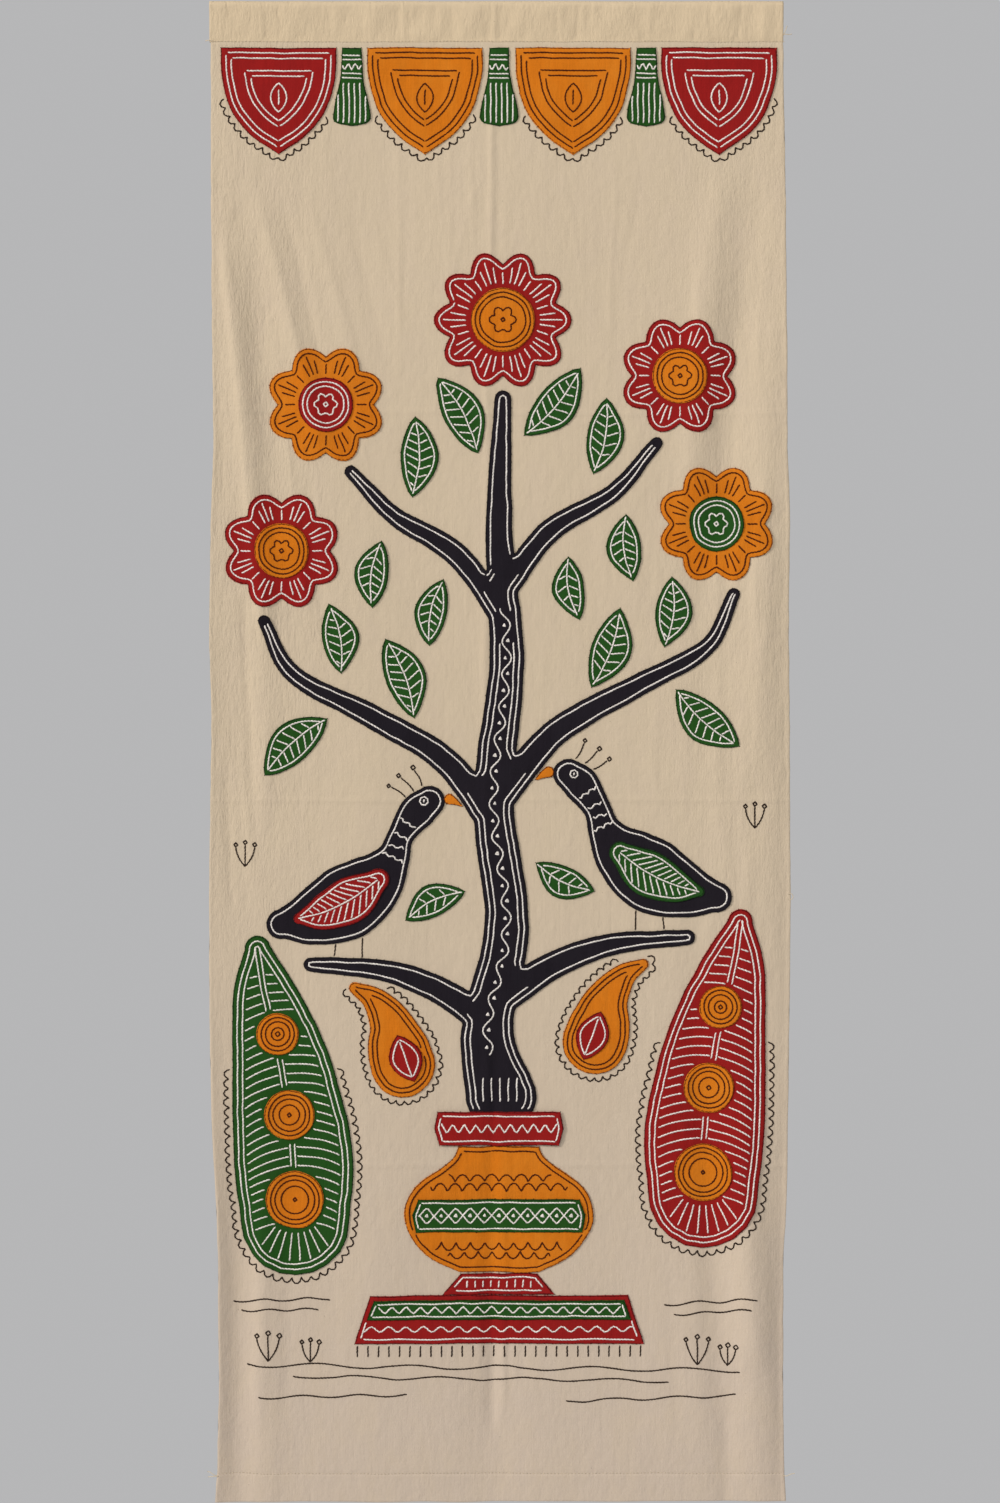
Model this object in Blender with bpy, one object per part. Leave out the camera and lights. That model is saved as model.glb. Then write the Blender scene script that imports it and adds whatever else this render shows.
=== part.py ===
"""Applique wall hanging: a long cotton panel with cut cloth motifs sewn to its face.

The panel hangs from a rod sleeve along its top edge. X runs to the right, the face looks along -Y, and Z
runs up from the top edge, which is the origin. Tables are in millimetres, as (across, depth): across runs
to the right from the middle, and depth runs down from the top edge.
"""
import math
from bisect import bisect_right

import bmesh
import bpy
from mathutils import Vector, geometry

MM = 0.001

# Cloth thicknesses and the gap between one cloth and the next
PANEL_THICK = 1.2
PATCH_THICK = 1.0
GAP = 0.32

# Panel and its doubled bottom hem
PANEL_TOP = 43.0
HEM_TOP = 1532.0
HEM_EXTRA = 1.0
PANEL_SIDES = [  # depth, left edge, right edge
    (43, -300, 295.5), (190, -299.5, 298), (340, -298.5, 299.5), (470, -297, 300), (530, -299.5, 302.5),
    (655, -301.5, 301.5), (750, -299, 302.5), (935, -301.5, 303.5), (1060, -301, 302), (1185, -298, 300.5),
    (1250, -294, 299), (1310, -292, 296), (1435, -291, 295.5), (1532, -293, 297), (1561, -295.5, 298.5)]

# Rod sleeve, a hollow tube of cloth open at both ends
SLEEVE_ENDS = (-301.0, 295.5)
SLEEVE_BOTTOM = PANEL_TOP - GAP
SLEEVE_WALL = 1.2
SLEEVE_CORE = 5.0
SLEEVE_MIDDLE = 0.6
SLEEVE_POCKET_END = 36.0
SLEEVE_ARC_STEPS = 8

# Lines along which all the cloth is faceted, closer together where the side folds run
MIDDLE_PITCH = 36
SIDE_PITCH = 15
MIDDLE_REACH = 180
SIDE_REACH = 315
FOLD_ROWS = [43, 160, 290, 420, 550, 680, 820, 960, 1100, 1240, 1380, 1532, 1575]
FADE_BELOW_TOP = 120.0
FOLD_END_POWER = 0.7

MAIN_FOLDS = [  # top across, top depth, bottom across, bottom depth, half width, height towards the front
    (-288, 200, -244, 660, 15, 6),
    (-273, 190, -224, 560, 15, -3.5),
    (-250, 190, -182, 480, 14, 2),
    (266, 180, 216, 640, 18, -4),
    (228, 180, 192, 560, 16, 3),
    (282, 330, 268, 820, 17, 3),
    (-276, 620, -272, 1000, 18, -2),
    (244, 1000, 278, 1640, 18, 5),
    (204, 1040, 244, 1640, 16, -3.5),
    (-240, 1040, -246, 1640, 18, 2),
    (-268, 1150, -268, 1640, 16, -3.5),
    (290, 1130, 294, 1640, 12, -2.5),
    (-14, 960, -12, 1260, 26, 1.5),
    (-8, 1180, -6, 1640, 26, -2),
    (-150, 300, -120, 1640, 60, 3),
    (110, 300, 150, 1640, 60, -2)]

BLACK = (0.014, 0.012, 0.017, 1.0)
RED = (0.27, 0.011, 0.013, 1.0)
GREEN = (0.019, 0.087, 0.014, 1.0)
ORANGE = (0.64, 0.19, 0.012, 1.0)
CREAM = (0.60, 0.49, 0.33, 1.0)
CLOTH_ROUGHNESS = 0.9

# Points for each row, cap, petal, leaf side or disc of an outline, and the distance at which points join
STROKE_STEPS = 2
CAP_STEPS = 3
PETAL_STEPS = 4
LEAF_STEPS = 5
DISC_STEPS = 12
POINT_MERGE = 0.01

SCALLOP_HALF = [(60, 49), (59, 80), (49, 114), (29, 140), (0, 160)]  # half width, depth
TASSEL_HALF = [(10, 49), (12, 80), (19, 112), (18, 126), (0, 131)]  # half width, depth
SCALLOPS = [(-229, RED), (-77, ORANGE), (77, ORANGE), (229, RED)]  # across, colour
TASSELS = [-153, 0, 153]

TREE_LIMBS = [  # each limb: rows of across, depth, width
    [(2, 1138, 74), (-12, 1070, 54), (8, 960, 46), (-6, 830, 42), (8, 690, 36), (0, 550, 28), (4, 414, 18)],
    [(-2, 1070, 34), (-60, 1030, 28), (-120, 1008, 22), (-196, 1002, 15)],
    [(4, 1036, 34), (62, 1000, 28), (122, 980, 22), (196, 974, 15)],
    [(0, 862, 34), (-56, 790, 28), (-136, 742, 24), (-214, 700, 18), (-244, 645, 13)],
    [(0, 828, 34), (60, 760, 28), (140, 714, 24), (216, 672, 18), (244, 617, 13)],
    [(4, 640, 26), (-44, 576, 24), (-108, 536, 19), (-154, 490, 13)],
    [(4, 616, 26), (52, 552, 24), (118, 512, 19), (164, 460, 13)]]

POT_PIECES = [  # name, colour, layer, steps, rows of half width and depth
    ("pot_rim", RED, 2, 1, [(64, 1155), (67, 1172), (62, 1190)]),
    ("pot_belly", ORANGE, 1, 2, [(42, 1191), (50, 1206), (88, 1234), (98, 1268), (76, 1304), (42, 1322)]),
    ("pot_band", GREEN, 2, 1, [(84, 1246), (90, 1262), (86, 1280)]),
    ("pot_foot", RED, 1, 1, [(40, 1323), (58, 1345)]),
    ("mat", RED, 1, 1, [(134, 1346), (150, 1396)]),
    ("mat_strip", GREEN, 2, 1, [(130, 1351), (137, 1371)])]

BIRD_BODY = [(74, -158, 32), (60, -146, 37), (44, -122, 28), (36, -100, 36), (18, -76, 62), (-14, -52, 78),
             (-52, -36, 56), (-80, -30, 32)]  # across, depth, width
BIRD_WING = [(20, -76, 24), (-6, -57, 48), (-38, -42, 36), (-62, -36, 12)]  # across, depth, width
BIRD_TAIL = [(-105, -5, 26), (-98, 40, 66), (-80, 120, 104), (-68, 210, 124), (-66, 278, 114)]
TAIL_EYES = [(-84, 84, 22), (-72, 168, 26), (-66, 256, 30)]  # across, depth, radius
BIRDS = [  # side, across, depth, flip, tail colour, wing colour
    ("left", -146, 990, 1, GREEN, RED),
    ("right", 146, 962, -1, RED, GREEN)]

FLOWERS = [  # across, depth, radius, petals, petal colour, centre colour
    (4, 332, 72, 10, RED, ORANGE),
    (-226, 572, 62, 8, RED, ORANGE),
    (226, 544, 62, 8, ORANGE, GREEN),
    (-180, 420, 62, 8, ORANGE, RED),
    (188, 390, 62, 8, RED, ORANGE)]
PETAL_NOTCH = 0.2
CENTRE_SHARE = 0.46

LEAVES = [  # root across, root depth, turn in degrees (0 right, 90 down), length, width
    (-90, 516, -88, 84, 40), (-58, 602, 102, 70, 34), (-122, 562, 98, 70, 36),
    (98, 492, -80, 80, 38), (72, 578, 80, 66, 34), (132, 534, 84, 70, 36),
    (-22, 470, -118, 88, 42), (26, 452, -50, 92, 42),
    (-88, 746, -110, 88, 42), (-164, 700, -100, 74, 38),
    (96, 714, -70, 88, 42), (172, 672, -84, 74, 38),
    (-178, 746, 138, 88, 42), (184, 716, 42, 88, 42),
    (-36, 926, 154, 68, 34), (38, 896, 26, 68, 34)]
LEAF_BEND = 6
LEAF_FULLNESS = 0.8

PAISLEY = [(0, 0, 68), (6, -22, 62), (14, -46, 44), (30, -68, 26), (50, -80, 12)]  # across, depth, width
PAISLEY_DROP = (-12, 18, 52, 34, -70)  # root across, root depth, length, width, turn in degrees
PAISLEYS = [("left", -100, 1106, -1), ("right", 100, 1082, 1)]  # side, across, depth, flip


def smooth(rows, steps):
    """Points on a smooth curve through the rows, column by column."""
    rows = [Vector(row) for row in rows]
    padded = [2 * rows[0] - rows[1]] + rows + [2 * rows[-1] - rows[-2]]
    points = []
    for before, start, end, after in zip(padded, padded[1:], padded[2:], padded[3:]):
        for step in range(steps):
            t = step / steps
            points.append(0.5 * (2 * start + (end - before) * t
                                 + (2 * before - 5 * start + 4 * end - after) * t ** 2
                                 + (3 * start - before - 3 * end + after) * t ** 3))
    return points + [rows[-1]]


def stroke(rows):
    """Outline of a round-ended stroke whose rows give across, depth and width."""
    path = smooth(rows, STROKE_STEPS)
    spine = [Vector(point[:2]) for point in path]
    left, right = [], []
    for index, point in enumerate(spine):
        run = (spine[min(index + 1, len(spine) - 1)] - spine[max(index - 1, 0)]).normalized()
        side = Vector((-run.y, run.x)) * path[index][2] / 2
        left.append(point + side)
        right.append(point - side)

    def cap(centre, side):
        forward = Vector((side.y, -side.x))
        angles = [math.pi * step / (CAP_STEPS + 1) for step in range(1, CAP_STEPS + 1)]
        return [centre + side * math.cos(angle) + forward * math.sin(angle) for angle in angles]

    end_cap = cap(spine[-1], left[-1] - spine[-1])
    start_cap = cap(spine[0], right[0] - spine[0])
    return left + end_cap + right[::-1] + start_cap


def mirrored(rows, steps):
    """Outline that is the same on both sides of the middle; rows give half width and depth."""
    path = smooth(rows, steps)
    return path + [Vector((-point.x, point.y)) for point in reversed(path) if point.x > 0]


def petalled(radius, petals, notch, steps):
    """Round outline whose edge dips between its petals."""
    points = []
    for step in range(petals * steps):
        angle = 2 * math.pi * step / (petals * steps)
        reach = radius * (1 - notch + notch * abs(math.sin(petals * angle / 2)))
        points.append(Vector((reach * math.sin(angle), -reach * math.cos(angle))))
    return points


def leaf(length, width, bend):
    """Outline of a pointed leaf that starts at its root and bends to one side."""
    shares = [step / LEAF_STEPS for step in range(LEAF_STEPS + 1)]
    halves = [width / 2 * max(0, math.sin(math.pi * share)) ** LEAF_FULLNESS for share in shares]
    middle = [bend * math.sin(math.pi * share) for share in shares]
    rib = list(zip(shares, middle, halves))
    upper = [Vector((length * share, centre + half)) for share, centre, half in rib]
    lower = [Vector((length * share, centre - half)) for share, centre, half in rib[-2:0:-1]]
    return upper + lower


def placed(outline, across, depth, turn=0, flip=1):
    """The outline flipped, turned and moved to its place on the panel."""
    angle = math.radians(turn)
    cosine, sine = math.cos(angle), math.sin(angle)
    return [Vector((across + cosine * flip * point.x - sine * point.y,
                    depth + sine * flip * point.x + cosine * point.y)) for point in outline]


def ease(share):
    share = min(max(share, 0), 1)
    return share * share * (3 - 2 * share)


def relief(across, depth):
    """How far the folds bring the cloth forward at a place, in millimetres."""
    total = 0
    for top_across, top_depth, bottom_across, bottom_depth, half_width, height in MAIN_FOLDS:
        along = (depth - top_depth) / (bottom_depth - top_depth)
        if 0 < along < 1:
            offset = across - (top_across + along * (bottom_across - top_across))
            total += height * math.sin(math.pi * along) ** FOLD_END_POWER * math.exp(-(offset / half_width) ** 2)
    return total * ease((depth - PANEL_TOP) / FADE_BELOW_TOP)


def column_lines():
    middle = list(range(-MIDDLE_REACH, MIDDLE_REACH + 1, MIDDLE_PITCH))
    side = list(range(MIDDLE_REACH + SIDE_PITCH, SIDE_REACH + 1, SIDE_PITCH))
    return [-across for across in reversed(side)] + middle + side


COLUMNS = column_lines()
HEIGHTS = [[relief(across, depth) for across in COLUMNS] for depth in FOLD_ROWS]


def faceted_relief(across, depth):
    """The relief read from the flat facets between the fold lines."""
    column = min(max(bisect_right(COLUMNS, across) - 1, 0), len(COLUMNS) - 2)
    row = min(max(bisect_right(FOLD_ROWS, depth) - 1, 0), len(FOLD_ROWS) - 2)
    u = (across - COLUMNS[column]) / (COLUMNS[column + 1] - COLUMNS[column])
    v = (depth - FOLD_ROWS[row]) / (FOLD_ROWS[row + 1] - FOLD_ROWS[row])
    top_left, top_right = HEIGHTS[row][column], HEIGHTS[row][column + 1]
    low_left, low_right = HEIGHTS[row + 1][column], HEIGHTS[row + 1][column + 1]
    if u + v <= 1:
        return top_left + u * (top_right - top_left) + v * (low_left - top_left)
    return low_right + (1 - u) * (low_left - low_right) + (1 - v) * (top_right - low_right)


def fold_lines_under(outlines):
    """Segments of the fold lines, and of the facets' diagonals, under the outlines' box."""
    points = [point for outline in outlines for point in outline]
    left, right = min(point.x for point in points), max(point.x for point in points)
    top, low = min(point.y for point in points), max(point.y for point in points)
    columns = [index for index in range(len(COLUMNS) - 1)
               if COLUMNS[index + 1] > left and COLUMNS[index] < right]
    rows = [index for index in range(len(FOLD_ROWS) - 1)
            if FOLD_ROWS[index + 1] > top and FOLD_ROWS[index] < low]
    segments = []
    for row in rows:
        for column in columns:
            x0, x1 = COLUMNS[column], COLUMNS[column + 1]
            d0, d1 = FOLD_ROWS[row], FOLD_ROWS[row + 1]
            segments += [((x0, d0), (x1, d0)), ((x0, d0), (x0, d1)), ((x1, d0), (x0, d1)),
                         ((x1, d0), (x1, d1)), ((x0, d1), (x1, d1))]
    return segments


def counterclockwise(outline):
    doubled_area = sum(start.cross(end) for start, end in zip(outline, outline[1:] + outline[:1]))
    return outline if doubled_area > 0 else outline[::-1]


def cut_sheet(outlines):
    """Flat mesh of the outlines' joined area, cut along the fold lines; Y is still 0."""
    points, edges, faces = [], [], []
    for outline in outlines:
        first = len(points)
        points += counterclockwise(outline)
        faces.append(list(range(first, len(points))))
    for start, end in fold_lines_under(outlines):
        edges.append((len(points), len(points) + 1))
        points += [Vector(start), Vector(end)]
    corners, _, triangles, _, _, origins = geometry.delaunay_2d_cdt(points, edges, faces, 0, POINT_MERGE)
    sheet = bmesh.new()
    verts = [sheet.verts.new((corner.x, 0, -corner.y)) for corner in corners]
    for triangle, origin in zip(triangles, origins):
        if origin:
            sheet.faces.new([verts[index] for index in triangle])
    bmesh.ops.delete(sheet, geom=[vert for vert in verts if not vert.link_faces], context='VERTS')
    return sheet


def thicken(sheet, faces, thickness):
    """Pull the faces back along +Y and close the sides."""
    pulled = bmesh.ops.extrude_face_region(sheet, geom=faces)['geom']
    moved = [part for part in pulled if isinstance(part, bmesh.types.BMVert)]
    bmesh.ops.translate(sheet, verts=moved, vec=(0, thickness, 0))


def drape(sheet, front):
    """Move the flat cloth so that its face lies the given distance before the folds' middle."""
    for vert in sheet.verts:
        vert.co.y -= front + faceted_relief(vert.co.x, -vert.co.z)
    bmesh.ops.recalc_face_normals(sheet, faces=sheet.faces)
    bmesh.ops.scale(sheet, vec=(MM, MM, MM), verts=sheet.verts)


def cloth_material(name, colour):
    material = bpy.data.materials.new(name)
    material.use_nodes = True
    shader = material.node_tree.nodes['Principled BSDF']
    shader.inputs['Base Color'].default_value = colour
    shader.inputs['Roughness'].default_value = CLOTH_ROUGHNESS
    shader.inputs['Metallic'].default_value = 0.0
    return material


def add_node(name, mesh_data, colour, collection):
    node = bpy.data.objects.new(name, mesh_data)
    mesh_data.materials.append(cloth_material(name + "_cloth", colour))
    collection.objects.link(node)
    return node


def add_sheet(name, sheet, colour, collection):
    mesh = bpy.data.meshes.new(name)
    sheet.to_mesh(mesh)
    sheet.free()
    return add_node(name, mesh, colour, collection)


def make_panel(collection):
    left = [Vector((across, depth)) for depth, across, _ in PANEL_SIDES]
    right = [Vector((across, depth)) for depth, _, across in PANEL_SIDES]
    sheet = cut_sheet([left + right[::-1]])
    faces = list(sheet.faces)
    thicken(sheet, faces, PANEL_THICK)
    back = [face for face in sheet.faces
            if all(vert.co.y > PANEL_THICK / 2 and -vert.co.z >= HEM_TOP - GAP for vert in face.verts)]
    thicken(sheet, back, HEM_EXTRA)
    bmesh.ops.delete(sheet, geom=back, context='FACES_ONLY')
    drape(sheet, PANEL_THICK / 2)
    add_sheet("panel", sheet, CREAM, collection)


def make_patch(name, outlines, colour, layer, collection):
    """One cut cloth: layer 1 lies on the panel, and layer 2 on the patches of layer 1."""
    sheet = cut_sheet(outlines)
    faces = list(sheet.faces)
    thicken(sheet, faces, PATCH_THICK)
    drape(sheet, PANEL_THICK / 2 + layer * (GAP + PATCH_THICK))
    add_sheet(name, sheet, colour, collection)


def sleeve_section(half_depth, top, end_half, end_depth):
    """Loop of the sleeve's section: a round top on two walls that close in towards the seam."""
    centre_depth = top + half_depth
    loop = []
    for step in range(SLEEVE_ARC_STEPS + 1):
        angle = math.pi * step / SLEEVE_ARC_STEPS
        loop.append((SLEEVE_MIDDLE - half_depth * math.cos(angle), centre_depth - half_depth * math.sin(angle)))
    return loop + [(SLEEVE_MIDDLE + end_half, end_depth), (SLEEVE_MIDDLE - end_half, end_depth)]


def make_sleeve(collection):
    """The hollow sleeve: its section, with the pocket as a hole, drawn out along X."""
    curve = bpy.data.curves.new("rod_sleeve", 'CURVE')
    curve.dimensions = '2D'
    curve.fill_mode = 'BOTH'
    left, right = SLEEVE_ENDS
    curve.extrude = (right - left) / 2 * MM
    loops = [sleeve_section(SLEEVE_CORE + SLEEVE_WALL, 0, SLEEVE_WALL, SLEEVE_BOTTOM),
             sleeve_section(SLEEVE_CORE, SLEEVE_WALL, GAP, SLEEVE_POCKET_END)]
    for loop in loops:
        spline = curve.splines.new('POLY')
        spline.use_cyclic_u = True
        spline.points.add(len(loop) - 1)
        for point, (back, depth) in zip(spline.points, loop):
            point.co = (back * MM, -depth * MM, 0, 1)
    sleeve = add_node("rod_sleeve", curve, CREAM, collection)
    sleeve.rotation_euler = (math.pi / 2, 0, math.pi / 2)
    sleeve.location.x = (left + right) / 2 * MM


def make_top_border(collection):
    for number, (across, colour) in enumerate(SCALLOPS, 1):
        outline = placed(mirrored(SCALLOP_HALF, 2), across, 0)
        make_patch(f"scallop_{number}", [outline], colour, 1, collection)
    for number, across in enumerate(TASSELS, 1):
        outline = placed(mirrored(TASSEL_HALF, 2), across, 0)
        make_patch(f"tassel_{number}", [outline], GREEN, 1, collection)


def make_tree_and_pot(collection):
    make_patch("tree", [stroke(limb) for limb in TREE_LIMBS], BLACK, 1, collection)
    for name, colour, layer, steps, rows in POT_PIECES:
        make_patch(name, [mirrored(rows, steps)], colour, layer, collection)


def make_birds(collection):
    for side, across, depth, flip, tail_colour, wing_colour in BIRDS:
        for part, rows, colour, layer in (("body", BIRD_BODY, BLACK, 1), ("tail", BIRD_TAIL, tail_colour, 1),
                                          ("wing", BIRD_WING, wing_colour, 2)):
            outline = placed(stroke(rows), across, depth, flip=flip)
            make_patch(f"{side}_bird_{part}", [outline], colour, layer, collection)
        for number, (eye_across, eye_depth, radius) in enumerate(TAIL_EYES, 1):
            eye = petalled(radius, DISC_STEPS, 0, 1)
            outline = placed(eye, across + flip * eye_across, depth + eye_depth)
            make_patch(f"{side}_tail_eye_{number}", [outline], ORANGE, 2, collection)


def make_flowers(collection):
    for number, (across, depth, radius, petals, colour, centre_colour) in enumerate(FLOWERS, 1):
        outline = placed(petalled(radius, petals, PETAL_NOTCH, PETAL_STEPS), across, depth)
        make_patch(f"flower_{number}", [outline], colour, 1, collection)
        centre = placed(petalled(radius * CENTRE_SHARE, DISC_STEPS, 0, 1), across, depth)
        make_patch(f"flower_centre_{number}", [centre], centre_colour, 2, collection)


def make_leaves(collection):
    for number, (across, depth, turn, length, width) in enumerate(LEAVES, 1):
        outline = placed(leaf(length, width, LEAF_BEND), across, depth, turn)
        make_patch(f"leaf_{number}", [outline], GREEN, 1, collection)


def make_paisleys(collection):
    drop_across, drop_depth, length, width, turn = PAISLEY_DROP
    for side, across, depth, flip in PAISLEYS:
        body = placed(stroke(PAISLEY), across, depth, flip=flip)
        make_patch(f"{side}_paisley", [body], ORANGE, 1, collection)
        drop = placed(placed(leaf(length, width, 0), drop_across, drop_depth, turn), across, depth, flip=flip)
        make_patch(f"{side}_paisley_drop", [drop], RED, 2, collection)


def main():
    for old in list(bpy.data.objects):
        bpy.data.objects.remove(old)
    collection = bpy.data.collections.new("applique_wall_hanging")
    bpy.context.scene.collection.children.link(collection)
    make_sleeve(collection)
    make_panel(collection)
    make_top_border(collection)
    make_tree_and_pot(collection)
    make_birds(collection)
    make_flowers(collection)
    make_leaves(collection)
    make_paisleys(collection)


main()
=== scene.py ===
"""Looks of the applique wall hanging: cloth, sewn patches, embroidery, materials, light and camera.

Lengths are in millimetres until a mesh is made. A place on the cloth is (across, depth): across runs to the
right from the middle, and depth runs down from the top edge. Lift is the height towards the front.
"""
import math

import bpy
import numpy as np
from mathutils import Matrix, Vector, geometry


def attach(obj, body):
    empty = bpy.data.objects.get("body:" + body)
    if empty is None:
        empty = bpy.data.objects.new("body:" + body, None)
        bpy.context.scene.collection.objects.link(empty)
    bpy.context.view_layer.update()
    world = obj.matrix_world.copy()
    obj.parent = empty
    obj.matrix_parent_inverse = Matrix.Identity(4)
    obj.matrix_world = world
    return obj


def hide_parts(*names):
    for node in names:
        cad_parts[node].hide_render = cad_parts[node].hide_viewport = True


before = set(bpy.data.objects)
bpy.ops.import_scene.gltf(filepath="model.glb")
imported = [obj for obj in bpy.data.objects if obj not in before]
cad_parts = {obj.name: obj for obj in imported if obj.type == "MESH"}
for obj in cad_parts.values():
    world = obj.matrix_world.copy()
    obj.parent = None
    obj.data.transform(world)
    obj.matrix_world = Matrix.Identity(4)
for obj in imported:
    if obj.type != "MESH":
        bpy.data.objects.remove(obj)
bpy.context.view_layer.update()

MM = 0.001

# Cloth thicknesses and the gap between one cloth and the next
PANEL_THICK = 1.2
PATCH_THICK = 1.0
GAP = 0.32

# Panel and its doubled bottom hem
PANEL_WIDTH = 600
PANEL_TOP = 43.0
PANEL_BOTTOM = 1561.0
HEM_TOP = 1532.0
HEM_EXTRA = 1.0
PANEL_SIDES = [  # depth, left edge, right edge
    (43, -300, 295.5), (190, -299.5, 298), (340, -298.5, 299.5), (470, -297, 300), (530, -299.5, 302.5),
    (655, -301.5, 301.5), (750, -299, 302.5), (935, -301.5, 303.5), (1060, -301, 302), (1185, -298, 300.5),
    (1250, -294, 299), (1310, -292, 296), (1435, -291, 295.5), (1532, -293, 297), (1561, -295.5, 298.5)]

# Rod sleeve, a hollow tube of cloth open at both ends
SLEEVE_ENDS = (-301.0, 295.5)
SLEEVE_BOTTOM = PANEL_TOP - 0.05
SLEEVE_WALL = 1.2
SLEEVE_CORE = 5.0
SLEEVE_MIDDLE = 0.6
SLEEVE_POCKET_END = 36.0

SLEEVE_WRINKLES = [  # cell across, cell depth, height, seed
    (26, 36, 1.2, 31), (12, 24, 0.80, 32), (5.5, 14, 0.32, 33)]
SLEEVE_CREASES = [  # across, lean to the left with depth, half width, height
    (-4, 0.03, 2.6, 1.0), (-98, 0.05, 1.8, 0.55), (-247, -0.04, 2.0, 0.5), (-228, 0.02, 2.2, -0.4),
    (-50, -0.45, 2.0, 0.4), (84, 0.10, 2.4, -0.55), (62, -0.08, 2.0, 0.4), (158, 0.04, 2.2, 0.45),
    (214, -0.06, 2.0, 0.5), (252, 0.12, 2.4, -0.45)]

FADE_BELOW_TOP = 120.0
FOLD_END_POWER = 0.7
CURL_END_POWER = 0.6
MAIN_FOLDS = [  # top across, top depth, bottom across, bottom depth, half width, height towards the front
    (-288, 200, -244, 660, 15, 6),
    (-273, 190, -224, 560, 15, -3.5),
    (-250, 190, -182, 480, 14, 2),
    (266, 180, 216, 640, 18, -4),
    (228, 180, 192, 560, 16, 3),
    (282, 330, 268, 820, 17, 3),
    (-276, 620, -272, 1000, 18, -2),
    (244, 1000, 278, 1640, 18, 5),
    (204, 1040, 244, 1640, 16, -3.5),
    (-240, 1040, -246, 1640, 18, 2),
    (-268, 1150, -268, 1640, 16, -3.5),
    (290, 1130, 294, 1640, 12, -2.5),
    (-14, 960, -12, 1260, 26, 1.5),
    (-8, 1180, -6, 1640, 26, -2),
    (-150, 300, -120, 1640, 60, 3),
    (110, 300, 150, 1640, 60, -2)]

CREASES = [  # start across, start depth, end across, end depth, width left, width right, height
    (-4, 10, -11, 330, 3.4, 2.6, 1.05), (-10, 250, -15, 700, 3.8, 3.0, 0.8),
    (-14, 640, -13.5, 1180, 4, 3, 0.85), (-14, 1080, -12, 1190, 2.6, 2.4, 0.8),
    (2, 60, -3, 300, 3, 3, -0.35), (-3.5, 780, -3.5, 1190, 4, 4, -0.6), (-8, 1110, -6, 1500, 9, 5, -2.0),
    (5, 1180, 5, 1490, 3.2, 4, 0.9), (-21, 1330, -21, 1440, 3, 4, 0.6),
    (10, 1330, 9, 1450, 2.6, 2.4, -0.5), (22, 1290, 23, 1410, 3, 3, 0.4),
    (25, 1300, 24, 1450, 4, 4, -0.4), (-44, 1180, -40, 1450, 5, 5, -0.4),
    (-27, 1330, -20, 1400, 2.4, 2.4, 0.5), (-54, 1340, -36, 1392, 2.6, 2.6, 0.4),
    (-104, 50, -104, 410, 2.4, 2.4, 0.45), (-92, 150, -100, 330, 2.4, 2.4, -0.3),
    (-49, 50, -52, 300, 2.6, 2.6, 0.4), (-20, 180, -62, 330, 2.6, 2.6, 0.4),
    (-66, 150, -40, 420, 2.6, 2.6, 0.35), (-30, 120, -24, 420, 2.4, 2.4, 0.35),
    (-84, 210, -30, 250, 2.6, 2.6, 0.3), (84, -5, 78, 60, 2.4, 2.4, -0.5),
    (48, 130, 30, 192, 2.6, 2.6, -0.5), (62, 160, 96, 330, 2.6, 2.6, 0.35),
    (122, 150, 112, 420, 2.4, 2.4, 0.35), (152, 160, 128, 300, 3, 3, -0.35),
    (-290, 225, -245, 680, 4, 17, 2.6), (-287, 215, -246, 640, 14, 14, -2.3),
    (-272, 215, -228, 545, 13, 13, 1.7), (-281, 222, -270, 325, 4, 9, -0.8),
    (-252, 195, -180, 480, 9, 6, 1.5), (-226, 200, -162, 480, 6, 6, -1.2),
    (-200, 200, -132, 430, 9, 6, 1.1), (-160, 200, -110, 400, 7, 6, -0.6),
    (-140, 190, -84, 400, 6, 4, 0.35), (-260, 270, -226, 620, 5, 5, -0.3),
    (-226, 420, -198, 640, 6, 4, 0.9), (-200, 480, -178, 700, 6, 5, -0.6),
    (-266, 600, -256, 850, 5.5, 4, -1.4), (-247, 570, -243, 880, 7, 10, 1.2),
    (-196, 660, -192, 800, 5, 4, 0.5), (-284, 780, -278, 960, 5, 4, -0.8),
    (-262, 800, -258, 940, 5, 4, 0.7), (-246, 1120, -250, 1500, 7, 8, 1.0),
    (-215, 1200, -222, 1480, 8, 8, -0.8), (211, 262, 201, 380, 4, 5, 0.7),
    (268, 310, 270, 400, 4, 4, 0.7), (257, 500, 250, 600, 3.5, 4, 0.6), (266, 520, 256, 630, 4, 4, -0.7),
    (277, 490, 274, 560, 4, 4, 0.5), (268, 590, 266, 660, 4, 4, 0.6), (246, 420, 232, 700, 5, 6, -0.5),
    (216, 560, 200, 1160, 14, 14, -0.9), (236, 620, 246, 900, 6, 6, -0.4),
    (262, 860, 254, 1090, 6, 4, 0.7), (160, 1128, 276, 1275, 5, 2.4, 0.8),
    (224, 1180, 252, 1480, 7, 7, -0.5), (262, 1395, 282, 1640, 18, 18, -2.6),
    (239, 1430, 233, 1600, 6, 8, -0.5), (178, 1300, 186, 1520, 7, 7, -0.4),
    (-340, 427, 340, 429, 2.6, 3.4, 0.40), (-340, 831, 340, 832, 2.6, 3.4, 0.45),
    (-340, 1210, 340, 1212, 2.6, 3.4, 0.45)]
CREASE_WAVER = 1.4
CREASE_FADE = 45.0

EDGE_CURLS = [  # side, top depth, bottom depth, reach from the edge, height
    (-1, 1000, 1660, 10, 3.2),
    (-1, 180, 900, 5, 0.8),
    (1, 200, 620, 6, 0.4),
    (1, 520, 1240, 18, -3.4),
    (1, 1100, 1660, 7, -1.6)]

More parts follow.
